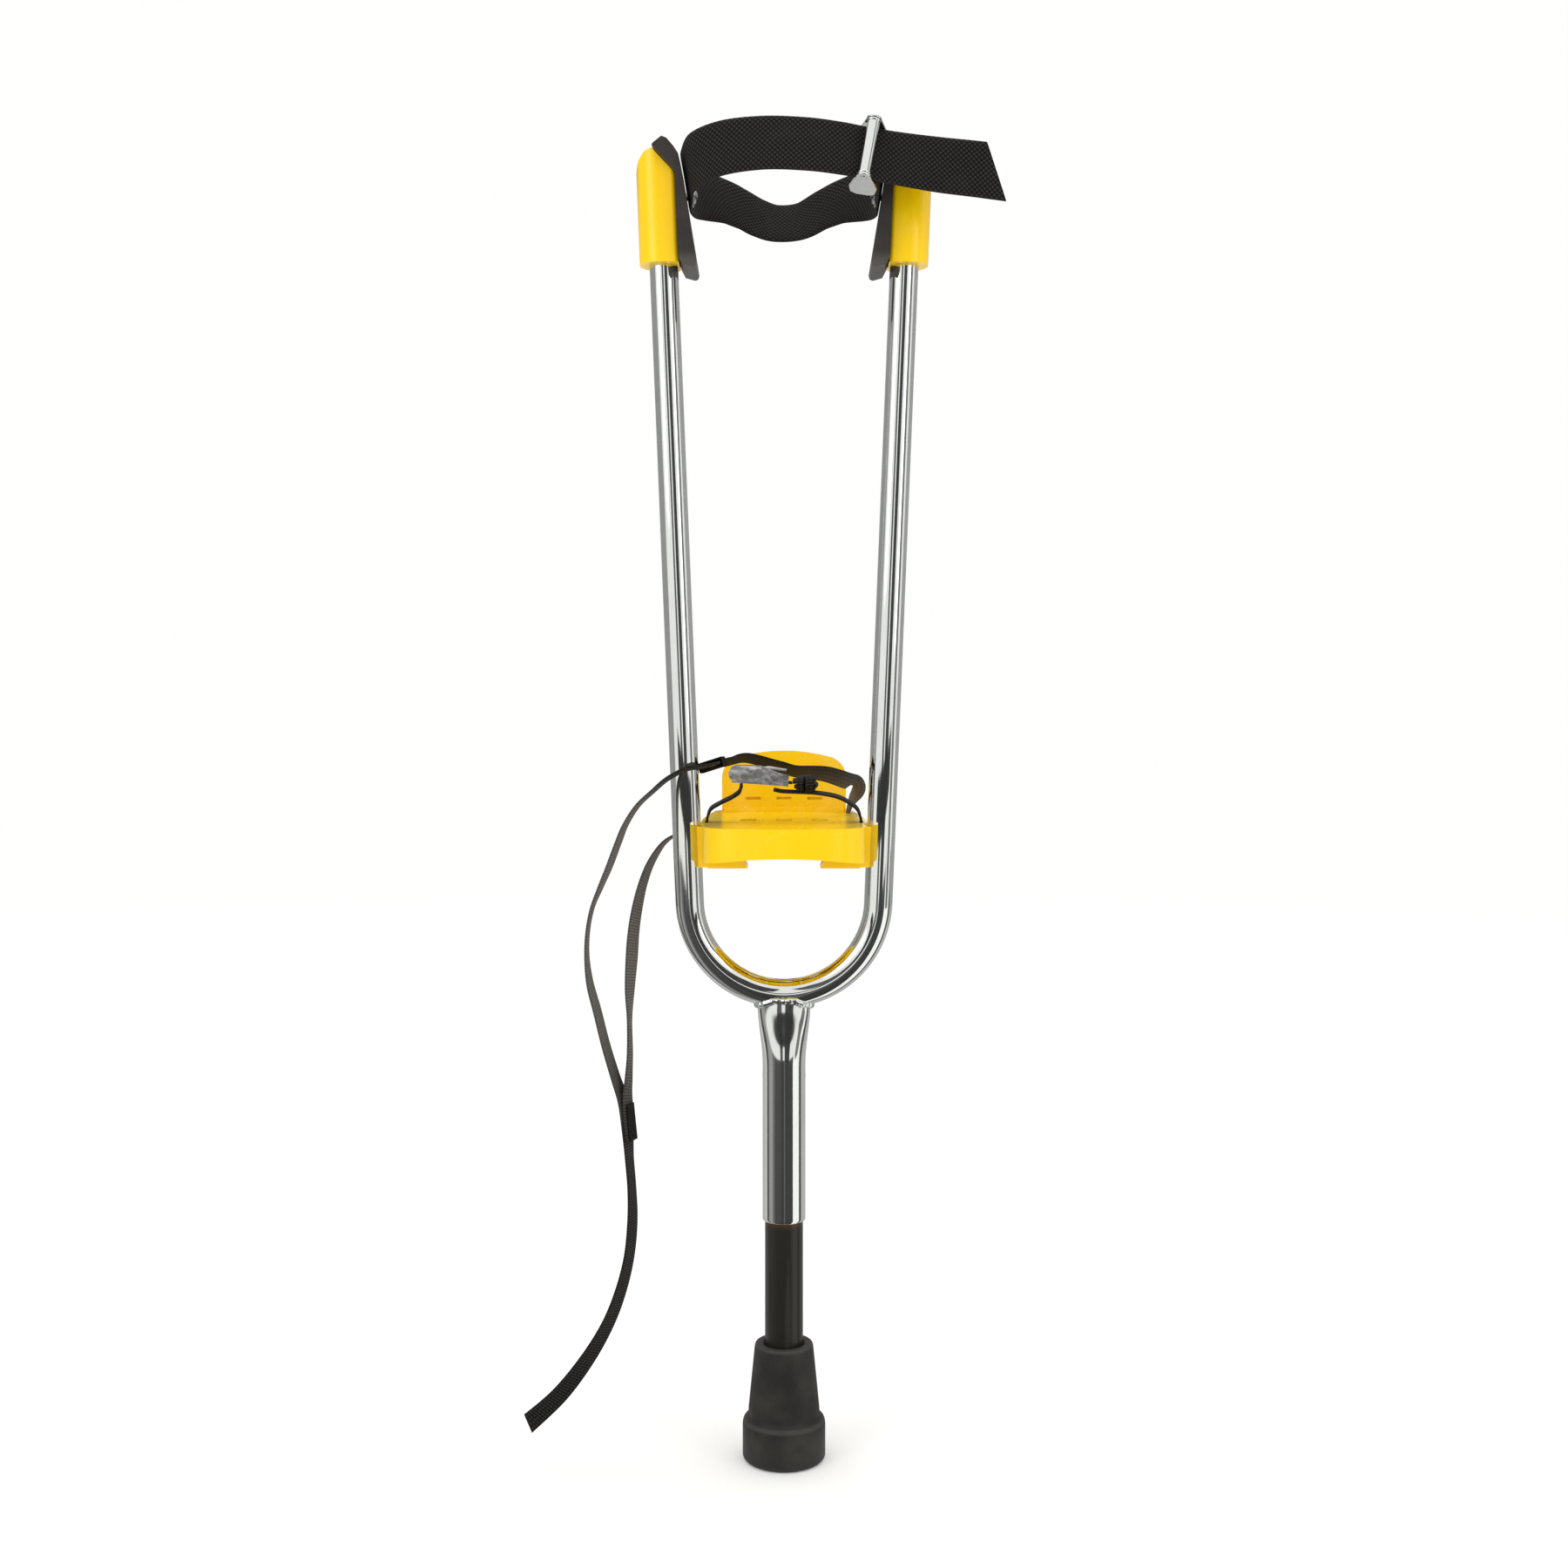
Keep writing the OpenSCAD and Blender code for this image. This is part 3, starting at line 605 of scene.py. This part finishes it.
def soften(
    node: str, material: bpy.types.Material, width: float, segments: int = 3,
) -> bpy.types.Object:
    """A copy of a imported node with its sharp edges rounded.

    Args:
        node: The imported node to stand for.
        material: Its finish.
        width: The width of the rounding, in metres.
        segments: How many faces each rounding has.

    Returns:
        The copy, which replaces the node.
    """
    source = bpy.data.objects[node]
    copy = bpy.data.objects.new(f"{node}_skin", source.data.copy())
    bpy.context.scene.collection.objects.link(copy)
    bpy.context.view_layer.objects.active = copy
    copy.data.materials.clear()
    copy.data.materials.append(material)
    for other in bpy.context.selected_objects:
        other.select_set(False)
    copy.select_set(True)
    bpy.ops.object.mode_set(mode="EDIT")
    bpy.ops.mesh.select_all(action="SELECT")
    bpy.ops.mesh.remove_doubles(threshold=0.00001)
    bpy.ops.mesh.dissolve_limited(angle_limit=0.02)
    bpy.ops.object.mode_set(mode="OBJECT")
    copy.data.polygons.foreach_set("use_smooth", np.ones(len(copy.data.polygons), bool))
    round_off = copy.modifiers.new("edges", "BEVEL")
    round_off.width = width
    round_off.segments = segments
    round_off.limit_method = "ANGLE"
    round_off.angle_limit = 0.6
    round_off.use_clamp_overlap = True
    round_off.harden_normals = True
    even = copy.modifiers.new("shade", "WEIGHTED_NORMAL")
    even.keep_sharp = True
    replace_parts(copy, node)
    return copy


def joined(pieces: list[bpy.types.Object]) -> bpy.types.Object:
    """One object from several; it keeps the first one's name."""
    for other in bpy.context.selected_objects:
        other.select_set(False)
    for piece in pieces:
        piece.select_set(True)
    bpy.context.view_layer.objects.active = pieces[0]
    bpy.ops.object.join()
    return pieces[0]


def dress(nodes: Sequence[str], material: bpy.types.Material) -> None:
    """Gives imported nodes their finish."""
    for node in nodes:
        data = bpy.data.objects[node].data
        data.materials.clear()
        data.materials.append(material)


# ---------- sub-assemblies ----------


@dataclass
class Frame:
    """The bent tube, the sleeve welded under it and the weld between them."""

    tube_r: float = 9.525
    bend_r: float = 62.8
    bend_z: float = 371.4
    lean: float = 2.33
    leg_top: float = 850.0
    sleeve_r: float = 14.3
    sleeve_low: float = 158.3
    flare_low: float = 262.0
    throat_a: float = 17.7
    throat_b: float = 9.3
    weld_a: float = 17.9
    weld_b: float = 9.6
    weld_rings: int = 220

    def tube(self, material: bpy.types.Material) -> bpy.types.Object:
        """A circle carried up the legs and round the bend.

        The line is two straight legs that lean outwards and an arc that meets both.
        """
        lean = np.radians(self.lean)
        tan = np.array([self.bend_r * np.cos(lean), self.bend_z - self.bend_r * np.sin(lean)])
        high = (self.leg_top - tan[1]) / np.cos(lean)
        s = np.linspace(high, 0, 40)[:-1]
        right = tan + s[:, None] * np.array([np.sin(lean), np.cos(lean)])
        a = np.linspace(-lean, lean - np.pi, 97)
        arc = np.array([0, self.bend_z]) + self.bend_r * np.stack([np.cos(a), np.sin(a)], -1)
        flat = np.concatenate([right, arc, (right * [-1, 1])[::-1]])
        line = np.stack([flat[:, 0], flat[:, 0] * 0, flat[:, 1]], -1) * MM
        go = unit(np.gradient(line, axis=0))
        depth = np.broadcast_to([0.0, 1.0, 0.0], go.shape)
        side = np.cross(depth, go)
        q = np.arange(48) * 2 * np.pi / 48
        ring = side[:, None] * np.cos(q)[None, :, None] - depth[:, None] * np.sin(q)[None, :, None]
        points = line[:, None] - ring * self.tube_r * MM
        made = put_mesh("bent_tube", points.reshape(-1, 3), grid_faces(len(line), 48), material)
        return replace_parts(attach(made, "frame"), "frame_tube")

    def sleeve(self, material: bpy.types.Material) -> bpy.types.Object:
        """The sleeve and its flared head in one skin.

        Each ring is an oval whose half-width and half-depth go smoothly from the round sleeve
        to the flat throat; its upper edge is moved to end inside the bend's underside. The
        skin turns in under the lower lip and runs up inside.
        """
        q = np.arange(72) * 2 * np.pi / 72
        low, r = self.sleeve_low, self.sleeve_r
        lip = [(r - 1.5, low + 9), (r - 1.5, low + 0.3), (r - 1.2, low), (r - 0.5, low), (r, low + 0.5)]
        rings = [np.stack([a * np.cos(q), a * np.sin(q), q * 0 + z], -1) for a, z in lip]
        for z in np.linspace(low + 2, self.flare_low, 24):
            rings.append(np.stack([r * np.cos(q), r * np.sin(q), q * 0 + z], -1))
        for t in np.linspace(0, 1, 26)[1:]:
            s = t * t * (3 - 2 * t)
            x = (r + (self.throat_a - r) * s) * np.cos(q)
            y = (r + (self.throat_b - r) * s) * np.sin(q)
            under = (
                self.bend_z - np.sqrt(self.bend_r**2 - x**2)
                - np.sqrt(np.maximum(self.tube_r**2 - y**2, 6.0)) + 1.2
            )
            z = self.flare_low + t * (under - self.flare_low)
            rings.append(np.stack([x, y, z], -1))
        points = np.concatenate(rings) * MM
        made = put_mesh("sleeve_skin", points, grid_faces(len(rings), 72), material)
        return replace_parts(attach(made, "frame"), "sleeve", "sleeve_head")

    def weld(self, material: bpy.types.Material) -> bpy.types.Object:
        """A wavy bead round the throat.

        Its line is an oval laid on the underside of the bend; its thickness swells with two
        sine waves, like drops of weld laid one over the next.
        """
        a = np.arange(self.weld_rings) * 2 * np.pi / self.weld_rings
        x, y = self.weld_a * np.cos(a), self.weld_b * np.sin(a)
        z = (
            self.bend_z - np.sqrt(self.bend_r**2 - x**2)
            - np.sqrt(self.tube_r**2 - np.minimum(np.abs(y), 9) ** 2) - 0.6
        )
        line = np.stack([x, y, z], -1)
        go = unit(np.roll(line, -1, 0) - np.roll(line, 1, 0))
        out = unit(np.cross(go, [0.0, 0.0, 1.0]))
        top = np.cross(out, go)
        q = np.arange(14) * 2 * np.pi / 14
        drop = 2.1 + 0.30 * np.abs(np.sin(a * 13)) + 0.18 * np.sin(a * 5 + 1) + 0.12 * np.sin(a * 31)
        ring = out[:, None] * np.cos(q)[None, :, None] - top[:, None] * np.sin(q)[None, :, None]
        points = (line[:, None] + ring * drop[:, None, None]).reshape(-1, 3) * MM
        faces = [f[::-1] for f in grid_faces(self.weld_rings, 14, loop=True)]
        made = put_mesh("weld_skin", points, faces, material)
        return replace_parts(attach(made, "frame"), "weld_bead")

    def build(self) -> None:
        """Builds the three skins."""
        bright = Chrome("chrome_tube").make()
        self.tube(bright)
        self.sleeve(Chrome("chrome_sleeve", haze=0.07).make())
        self.weld(Chrome("chrome_weld", haze=0.10, pits=0.0004).make())


@dataclass
class Stem:
    """The plunger, its rubber foot, and the spring and pins inside."""

    foot_r: float = 27.5
    rim_r: float = 19.2
    bore_r: float = 12.72
    rod_r: float = 12.7
    rod_bore: float = 11.1
    rod_low: float = 14.2
    rod_high: float = 190.0
    coil_r: float = 9.0
    wire_r: float = 1.5
    coil_low: float = 97.6
    coil_high: float = 198.4
    coils: int = 11
    pressed: float = 0.47

    def spring(self) -> None:
        """The coil spring, built at one fixed length; it is not shortened as the plunger goes in.

        Its wire is a circle carried along a helix. The share of the height reached rises by
        0.03 over the first turn and over the last, and evenly in between.
        """
        steel = PlainSteel("spring_steel", (0.36, 0.35, 0.33, 1), 0.34).make()
        u = np.linspace(0, 1, self.coils * 32 + 1)
        end = 1 / self.coils
        share = np.interp(u, [0, end, 1 - end, 1], [0, 0.03, 0.97, 1])
        z = self.coil_low + (self.coil_high - self.coil_low) * share
        a = (2 * np.pi * self.coils * u)[:, None]
        q = (np.arange(12) * 2 * np.pi / 12)[None]
        r = self.coil_r + self.wire_r * np.cos(q)
        points = np.stack([r * np.cos(a), r * np.sin(a), z[:, None] - self.wire_r * np.sin(q)
                           + 0 * a], -1).reshape(-1, 3) * MM
        made = put_mesh("spring_skin", points, grid_faces(len(u), 12), steel)
        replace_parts(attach(made, "frame"), "main_spring")
        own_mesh(made)

    def build(self) -> None:
        """Builds the plunger's and the foot's skins and dresses what is inside."""
        black = StovedBlack("stoved_black").make()
        low, high, r, bore = self.rod_low, self.rod_high, self.rod_r, self.rod_bore
        wall = [(bore, 100), (bore, low), (r, low), (r, high), (bore, high), (bore, 100)]
        rod = turned("plunger_skin", wall, black, corner=0.3, hollow=True)
        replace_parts(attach(rod, "plunger"), "plunger_tube")
        r, b = self.foot_r, self.bore_r
        profile = [
            (0, 0), (r - 2, 0), (r, 2), (r, 23.6), (r - 0.6, 26.4), (23.6, 29.6), (23.6, 33.4),
            (self.rim_r + 0.3, 74.6), (self.rim_r - 0.5, 76.6), (b + 1.2, 76.6), (b, 75.2),
            (b, self.rod_low), (0, self.rod_low),
        ]
        rubber = FootRubber("foot_rubber").make()
        foot = turned("foot_skin", profile, rubber, around=96, corner=1.3)
        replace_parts(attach(foot, "plunger"), "rubber_foot")
        steel = PlainSteel("inner_steel").make()
        dress(["rod_pin", "spring_rod", "plunger_collar", "stop_collar", "collar_pin",
               "spring_plug", "plug_pin", "foot_washer"], steel)
        self.spring()


@dataclass
class Platform:
    """The moulded deck with its heel cup, and the screws that hold them."""

    def build(self) -> None:
        """Rounds the plastic and dresses the fasteners."""
        yellow = GlossYellow("gloss_yellow").make()
        deck = soften("deck", yellow, 0.0011)
        cup = soften("heel_cup", yellow, 0.0012)
        for piece in (deck, cup):
            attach(piece, "frame")
        dress(["heel_screws", "deck_screws", "deck_washers", "frame_inserts"],
              PlainSteel("zinc_screws").make())


@dataclass
class Cuff:
    """The caps on the legs, the pads inside them, and the strap and buckle round the calf."""

    strap_w: float = 0.038
    strap_t: float = 0.0018
    route: tuple[tuple[float, ...], ...] = (
        (50, -38.5, 852, -14), (57, -36, 850, -10), (62, -22, 848, 2), (64.4, -8, 846, 9.5),
        (64.4, 8, 846, 9.5), (59, 27, 848, 13), (44, 44, 849.5, 18), (28, 52.5, 845, 26),
        (12, 56.5, 837.5, 34), (-5, 57, 836, 35), (-18, 55.5, 839.5, 31), (-30, 51.5, 845, 25),
        (-44, 43.5, 849, 19), (-59, 27, 848.5, 13), (-64.4, 8, 847, 9.5), (-64.4, -8, 850, 9.5),
        (-59, -29, 854, 3), (-41, -47, 857, -8), (-14, -56, 858, -14), (14, -57, 857, -15),
        (37, -54, 855, -15), (54, -50, 853, -15), (76, -45.5, 850.5, -13), (100, -42, 848, -9),
        (124, -39.5, 846, -7), (147, -38, 843.5, -6),
    )

    def build(self) -> None:
        """Builds the strap, rounds the caps, pads and buckle, and dresses the rivets."""
        yellow = GlossYellow("gloss_yellow_caps").make()
        for side in ("left", "right"):
            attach(soften(f"cap_{side}", yellow, 0.0014), "frame")
        rubber = PadRubber("pad_rubber").make()
        for side in ("left", "right"):
            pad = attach(soften(f"pad_{side}", rubber, 0.0011), "frame")
        cloth = Webbing("calf_webbing", 0.0034, self.strap_w, Weave.BASKET).make()
        band = Band("calf_band", self.route, self.strap_w, self.strap_t, (0, 0, 1), 14,
                    slant=(0.0, -0.0080)).build(cloth, trim=0.0085)
        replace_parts(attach(band, "frame"), "calf_strap")
        bright = Chrome("buckle_chrome", haze=0.08).make()
        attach(soften("calf_buckle", bright, 0.0004, 2), "frame")
        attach(soften("calf_roller", bright, 0.0004, 2), "roller")
        dress(["pad_rivets", "rivet_washers"], PlainSteel("rivet_steel", rough=0.2).make())


@dataclass
class ToeStrap:
    """The short strap over the toes and its lever buckle."""

    width: float = 0.015
    thick: float = 0.0016
    left: tuple[tuple[float, ...], ...] = (
        (-52.4, 24.5, 417.2, 0), (-52.4, 24.5, 422, 0), (-50, 24, 429.5, 5),
        (-43.5, 22.5, 434, 5), (-35.5, 19.5, 438.2, 5), (-30.6, 17, 442, 5),
        (-28.8, 15.4, 446, 5), (-28, 15, 448.7, 0), (-24.5, 15, 450.2, 0), (-15, 15, 449.7, 0),
        (0, 15, 448.6, 0), (5.5, 15, 448.1, 0),
    )
    right: tuple[tuple[float, ...], ...] = (
        (52.4, 24.5, 417.2, 0), (52.4, 24.5, 422, 0), (50, 24, 429.5, -5), (44, 22.5, 434.6, -5),
        (35, 20, 438.8, -5), (22, 17.5, 441.2, -4), (11, 16, 441.8, -3), (-1, 15, 442.4, -3),
        (-7, 15, 443.6, -3),
    )
    knot: tuple[tuple[float, ...], ...] = (
        (6, 15, 449.2, 9), (12, 14.6, 449.8, 9), (18, 14, 449, 9), (21.6, 14, 446.9, 9),
        (19, 14.4, 444.9, 9), (12, 15, 445, 9), (7, 15.2, 445.6, 9),
    )
    under: tuple[tuple[float, ...], ...] = (
        (-52.4, 24.5, 417, 0), (-51.8, 24.5, 410.5, 0), (-46, 24.5, 408, 0), (0, 24.5, 408, 0),
        (46, 24.5, 408, 0), (51.8, 24.5, 410.5, 0), (52.4, 24.5, 417, 0),
    )

    def wraps(self, material: bpy.types.Material) -> list[bpy.types.Object]:
        """Three slack turns of the end wound round both layers, which make the knot.

        Each turn is an oval about X that also drifts to and fro along X with its angle.
        """
        made = []
        for turn, (x, tilt, far, high) in enumerate(
            ((12.0, 1.6, 8.6, 4.9), (15.4, -2.2, 9.2, 5.3), (18.0, 1.2, 8.2, 4.3))
        ):
            a = np.linspace(0, 2 * np.pi, 13) + 0.4 * turn
            route = np.stack([x + tilt * np.cos(a), 14.6 + far * np.cos(a),
                              447.2 + high * np.sin(a), a * 0], -1)
            made.append(Band(f"toe_wrap_{turn}", route, 0.0052, 0.0018, (1, 0, 0.1), 6).build(material))
        return made

    def build(self) -> None:
        """Builds the four runs of webbing and rounds the buckle."""
        cloth = Webbing("toe_webbing", 0.0016, self.width).make()
        runs = {"left": self.left, "right": self.right, "knot": self.knot, "under": self.under}
        for name, route in runs.items():
            wide = self.width - (0.002 if name == "knot" else 0)
            band = Band(f"toe_band_{name}", route, wide, self.thick, (0, 1, 0), 10).build(cloth)
            if name == "knot":
                band = joined([band, *self.wraps(cloth)])
            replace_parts(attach(band, "frame"), f"toe_strap_{name}")
        bright = Chrome("toe_buckle_chrome", (0.80, 0.80, 0.78, 1), 0.14, 0.0005, 45.0).make()
        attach(soften("toe_buckle", bright, 0.00035, 2), "frame")
        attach(soften("toe_lever", bright, 0.00035, 2), "lever")
        dress(["toe_pin"], PlainSteel("pin_steel", rough=0.22).make())


@dataclass
class AnkleStrap:
    """The long loose strap: over the foot, past the left leg and down to its free end."""

    width: float = 0.015
    thick: float = 0.0016
    long: tuple[tuple[float, ...], ...] = (
        (47, 125, 418.2, 4), (47, 125, 422, 4), (49, 120, 430, 13), (52.5, 109, 438.5, 34),
        (51, 100, 443.5, 50), (45, 92, 446, 56), (29, 76, 451.5, 48), (8, 56, 454.5, 34),
        (-5, 45, 458.5, 30), (-25, 33, 464, 26), (-39, 20, 462, 20), (-48, 4.5, 460.5, 17),
        (-52.4, -12.8, 460.2, 11), (-64, -18.5, 458.5, 9), (-76, -21, 452.5, 8),
        (-86, -20, 444, 7), (-96, -19, 434.5, 7), (-104, -18, 422, 8), (-109, -16, 410, 10),
        (-115, -15, 394, 10), (-121, -14, 380, 7), (-126.5, -13, 366, 3), (-129.5, -12, 350, 2),
        (-130, -11, 333, 3), (-128, -10, 316, 8), (-123.5, -8, 298, 11), (-118, -6, 275, 12),
        (-112, -4, 254, 14), (-107, -3, 238, 18), (-104, -3, 219, 21), (-102.5, -4, 199, 14),
        (-101, -4, 180, 14), (-100.5, -5, 159, 19), (-102.5, -6, 136, 22), (-108, -6, 113, 27),
        (-116.5, -7, 91, 33), (-130, -8, 68, 43), (-148, -9, 45, 54), (-169, -10, 26, 66),
    )
    short: tuple[tuple[float, ...], ...] = (
        (-57, 44, 410, 0), (-63, 43.5, 410.4, 0), (-70, 39, 411.5, 3), (-77, 34.5, 409.5, 7),
        (-84, 30, 403.5, 11), (-91, 26, 392, 15), (-96, 22, 378, 18), (-99.5, 19, 362, 22),
        (-101.5, 16, 347, 24), (-102.5, 13, 330, 25), (-103.5, 10, 310, 18), (-103.5, 8, 290, 5),
        (-103, 5, 268, 7), (-103.5, 1.5, 252, 12), (-104, -2, 238, 18), (-102.3, -3.7, 221, 21),
        (-101.2, -4.2, 212, 21),
    )
    under: tuple[tuple[float, ...], ...] = (
        (-56.8, 44, 410, 0), (-44, 46, 410, 0), (-20, 62, 410, 0), (10, 90, 410, 0),
        (30, 109, 410, 0), (40, 118.5, 410.4, 0), (45.4, 123.6, 412.4, 0), (47, 125, 415, 2),
        (47, 125, 417.4, 4),
    )

    def build(self) -> None:
        cloth = Webbing("ankle_webbing", 0.0019, self.width, pale=0.55).make()
        cross = (0.0, 1.0, 0.0)
        bands = {
            "long": Band("ankle_band_long", self.long, self.width, self.thick, cross, 10,
                         slant=(0.0, 0.003)),
            "short": Band("ankle_band_short", self.short, self.width, self.thick, cross, 10),
            "under": Band("ankle_band_under", self.under, self.width, self.thick, cross, 10),
        }
        for name, band in bands.items():
            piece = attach(band.build(cloth), "frame")
            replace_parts(piece, f"ankle_strap_{name}")
        thread = Thread("thread_black").make()
        for node in ("ankle_stitching", "ankle_tie"):
            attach(soften(node, thread, 0.0006), "frame")
        line = bands["long"].line()
        bands["long"].length()
        line = bands["short"].line()
        bands["short"].length()
        LOG.info("ankle strap runs: %.3f m and %.3f m", bands["long"].length(), bands["short"].length())


@dataclass
class Studio:
    """The pale floor, the soft lights and the camera."""

    eye: tuple[float, float, float] = (0.0, -1.218, 0.506)
    lens: float = 42.0
    shift: float = -0.0556
    near: float = 0.07
    far: float = 3.4
    # Each card: its name, its low and high corners, and its shade.
    cards: tuple[tuple[str, tuple[float, ...], tuple[float, ...], float], ...] = (
        ("card_left", (-2.6, -0.8, -0.5), (-1.3, 2.6, 2.6), 0.30),
        ("card_back_left", (-1.3, 2.6, -0.5), (-0.45, 2.6, 2.6), 0.50),
        ("card_back", (-0.22, 2.6, -0.5), (0.16, 2.6, 2.6), 0.06),
        ("card_back_right", (0.34, 2.6, -0.5), (1.3, 2.6, 2.6), 0.46),
        ("card_low", (-0.90, -0.90, 0.345), (1.05, -0.90, 0.435), 0.03),
        ("card_right", (1.3, 2.6, -0.5), (2.6, 0.1, 2.6), 0.36),
        ("card_front", (0.12, -2.6, -0.5), (1.30, -2.6, 2.6), 0.05),
        ("card_near", (-0.85, -2.6, -0.5), (-0.25, -2.6, 2.6), 0.10),
        ("card_side", (1.75, -1.15, -0.5), (2.00, -0.55, 2.6), 0.16),
    )
    # Each wedge: from and to in degrees, from straight ahead towards the right, and shade.
    wedges: tuple[tuple[float, float, float], ...] = (
        (-176, -112, 0.48), (-108, -62, 0.30), (-62, -50, 0.12), (-50, -13, 0.04),
        (-13, -1, 0.02), (-1, 6, 0.09), (6, 48, 0.025), (86, 103, 0.05), (103, 176, 0.46),
    )

    def camera(self) -> None:
        """A level camera in front of the stilt, a little above its middle."""
        data = bpy.data.cameras.new("front_camera")
        data.lens, data.sensor_width, data.shift_y = self.lens, 36.0, self.shift
        data.clip_start, data.clip_end = 0.05, 30
        made = bpy.data.objects.new("front_camera", data)
        made.location = self.eye
        made.rotation_euler = (np.pi / 2, 0, 0)
        bpy.context.scene.collection.objects.link(made)
        bpy.context.scene.camera = made

    def lamp(self, name: str, place: Sequence[float], size: Sequence[float], watts: float) -> None:
        """A soft panel that faces the middle of the stilt."""
        data = bpy.data.lights.new(name, "AREA")
        data.shape, data.size, data.size_y, data.energy = "RECTANGLE", size[0], size[1], watts
        made = bpy.data.objects.new(name, data)
        made.location = place
        aim = Vector((0, 0, 0.45)) - Vector(place)
        made.rotation_euler = aim.to_track_quat("-Z", "Y").to_euler()
        bpy.context.scene.collection.objects.link(made)

    def panel(self, name: str, points: np.ndarray, shade: float) -> None:
        """A matt grey panel of four corners, which only mirrors see."""
        tree = Tree(name)
        made = put_mesh(name, points, [(0, 1, 2, 3)], tree.set(
            Base_Color=(shade, shade, shade, 1), Roughness=1.0), smooth=False)
        made.visible_camera = False
        made.visible_shadow = False
        made.visible_diffuse = False

    def card(self, name: str, low: Sequence[float], high: Sequence[float], shade: float) -> None:
        """An upright card from corner low to corner high, mirrored as a dark line."""
        (x0, y0, z0), (x1, y1, z1) = low, high
        self.panel(name, np.array([[x0, y0, z0], [x1, y1, z0], [x1, y1, z1], [x0, y0, z1]]), shade)

    def wedge(self, name: str, low: float, high: float, shade: float) -> None:
        """A wedge lying on the floor between two angles, mirrored as a band by the sleeve."""
        turn = np.radians([low, low, high, high])
        far = np.array([self.near, self.far, self.far, self.near])
        self.panel(name, np.stack([far * np.sin(turn), -far * np.cos(turn), turn * 0 + 0.002], -1),
                   shade)

    def floor(self) -> None:
        """A wide pale floor at the ground."""
        half = 6.0
        points = np.array([[-half, -half, 0], [half, -half, 0], [half, half, 0], [-half, half, 0]])
        tree = Tree("pale_floor")
        made = put_mesh("floor", points, [(0, 1, 2, 3)], tree.set(
            Base_Color=(0.93, 0.93, 0.92, 1), Roughness=0.85, Specular_IOR_Level=0.0,
            Emission_Color=(1, 1, 1, 1), Emission_Strength=0.07), smooth=False)

    def build(self) -> None:
        """Sets up the world, the lights, the cards, the floor and the camera."""
        self.camera()
        world = bpy.data.worlds.new("soft_room")
        world.use_nodes = True
        world.node_tree.nodes["Background"].inputs[0].default_value = (1, 1, 0.99, 1)
        world.node_tree.nodes["Background"].inputs[1].default_value = 1.0
        bpy.context.scene.world = world
        bpy.context.scene.view_settings.view_transform = "Standard"
        self.lamp("key_left", (-1.6, -1.5, 1.5), (0.9, 1.5), 8)
        self.lamp("fill_right", (1.7, -1.3, 1.2), (0.8, 1.4), 5)
        self.lamp("top", (0.0, 0.2, 2.3), (1.4, 1.4), 5)
        for name, low, high, shade in self.cards:
            self.card(name, low, high, shade)
        for place, (start, end, shade) in enumerate(self.wedges):
            self.wedge(f"wedge_{place}", start, end, shade)
        self.floor()


def main() -> None:
    """Builds the stilt, part by part, and logs each part as it is built."""
    logging.basicConfig(level=logging.INFO)
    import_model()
    Studio().build()
    for part in (AnkleStrap(), Frame(), Stem(), Platform(), Cuff(), ToeStrap()):
        part.build()
        LOG.info("built %s", type(part).__name__)


if __name__ == "__main__":
    main()
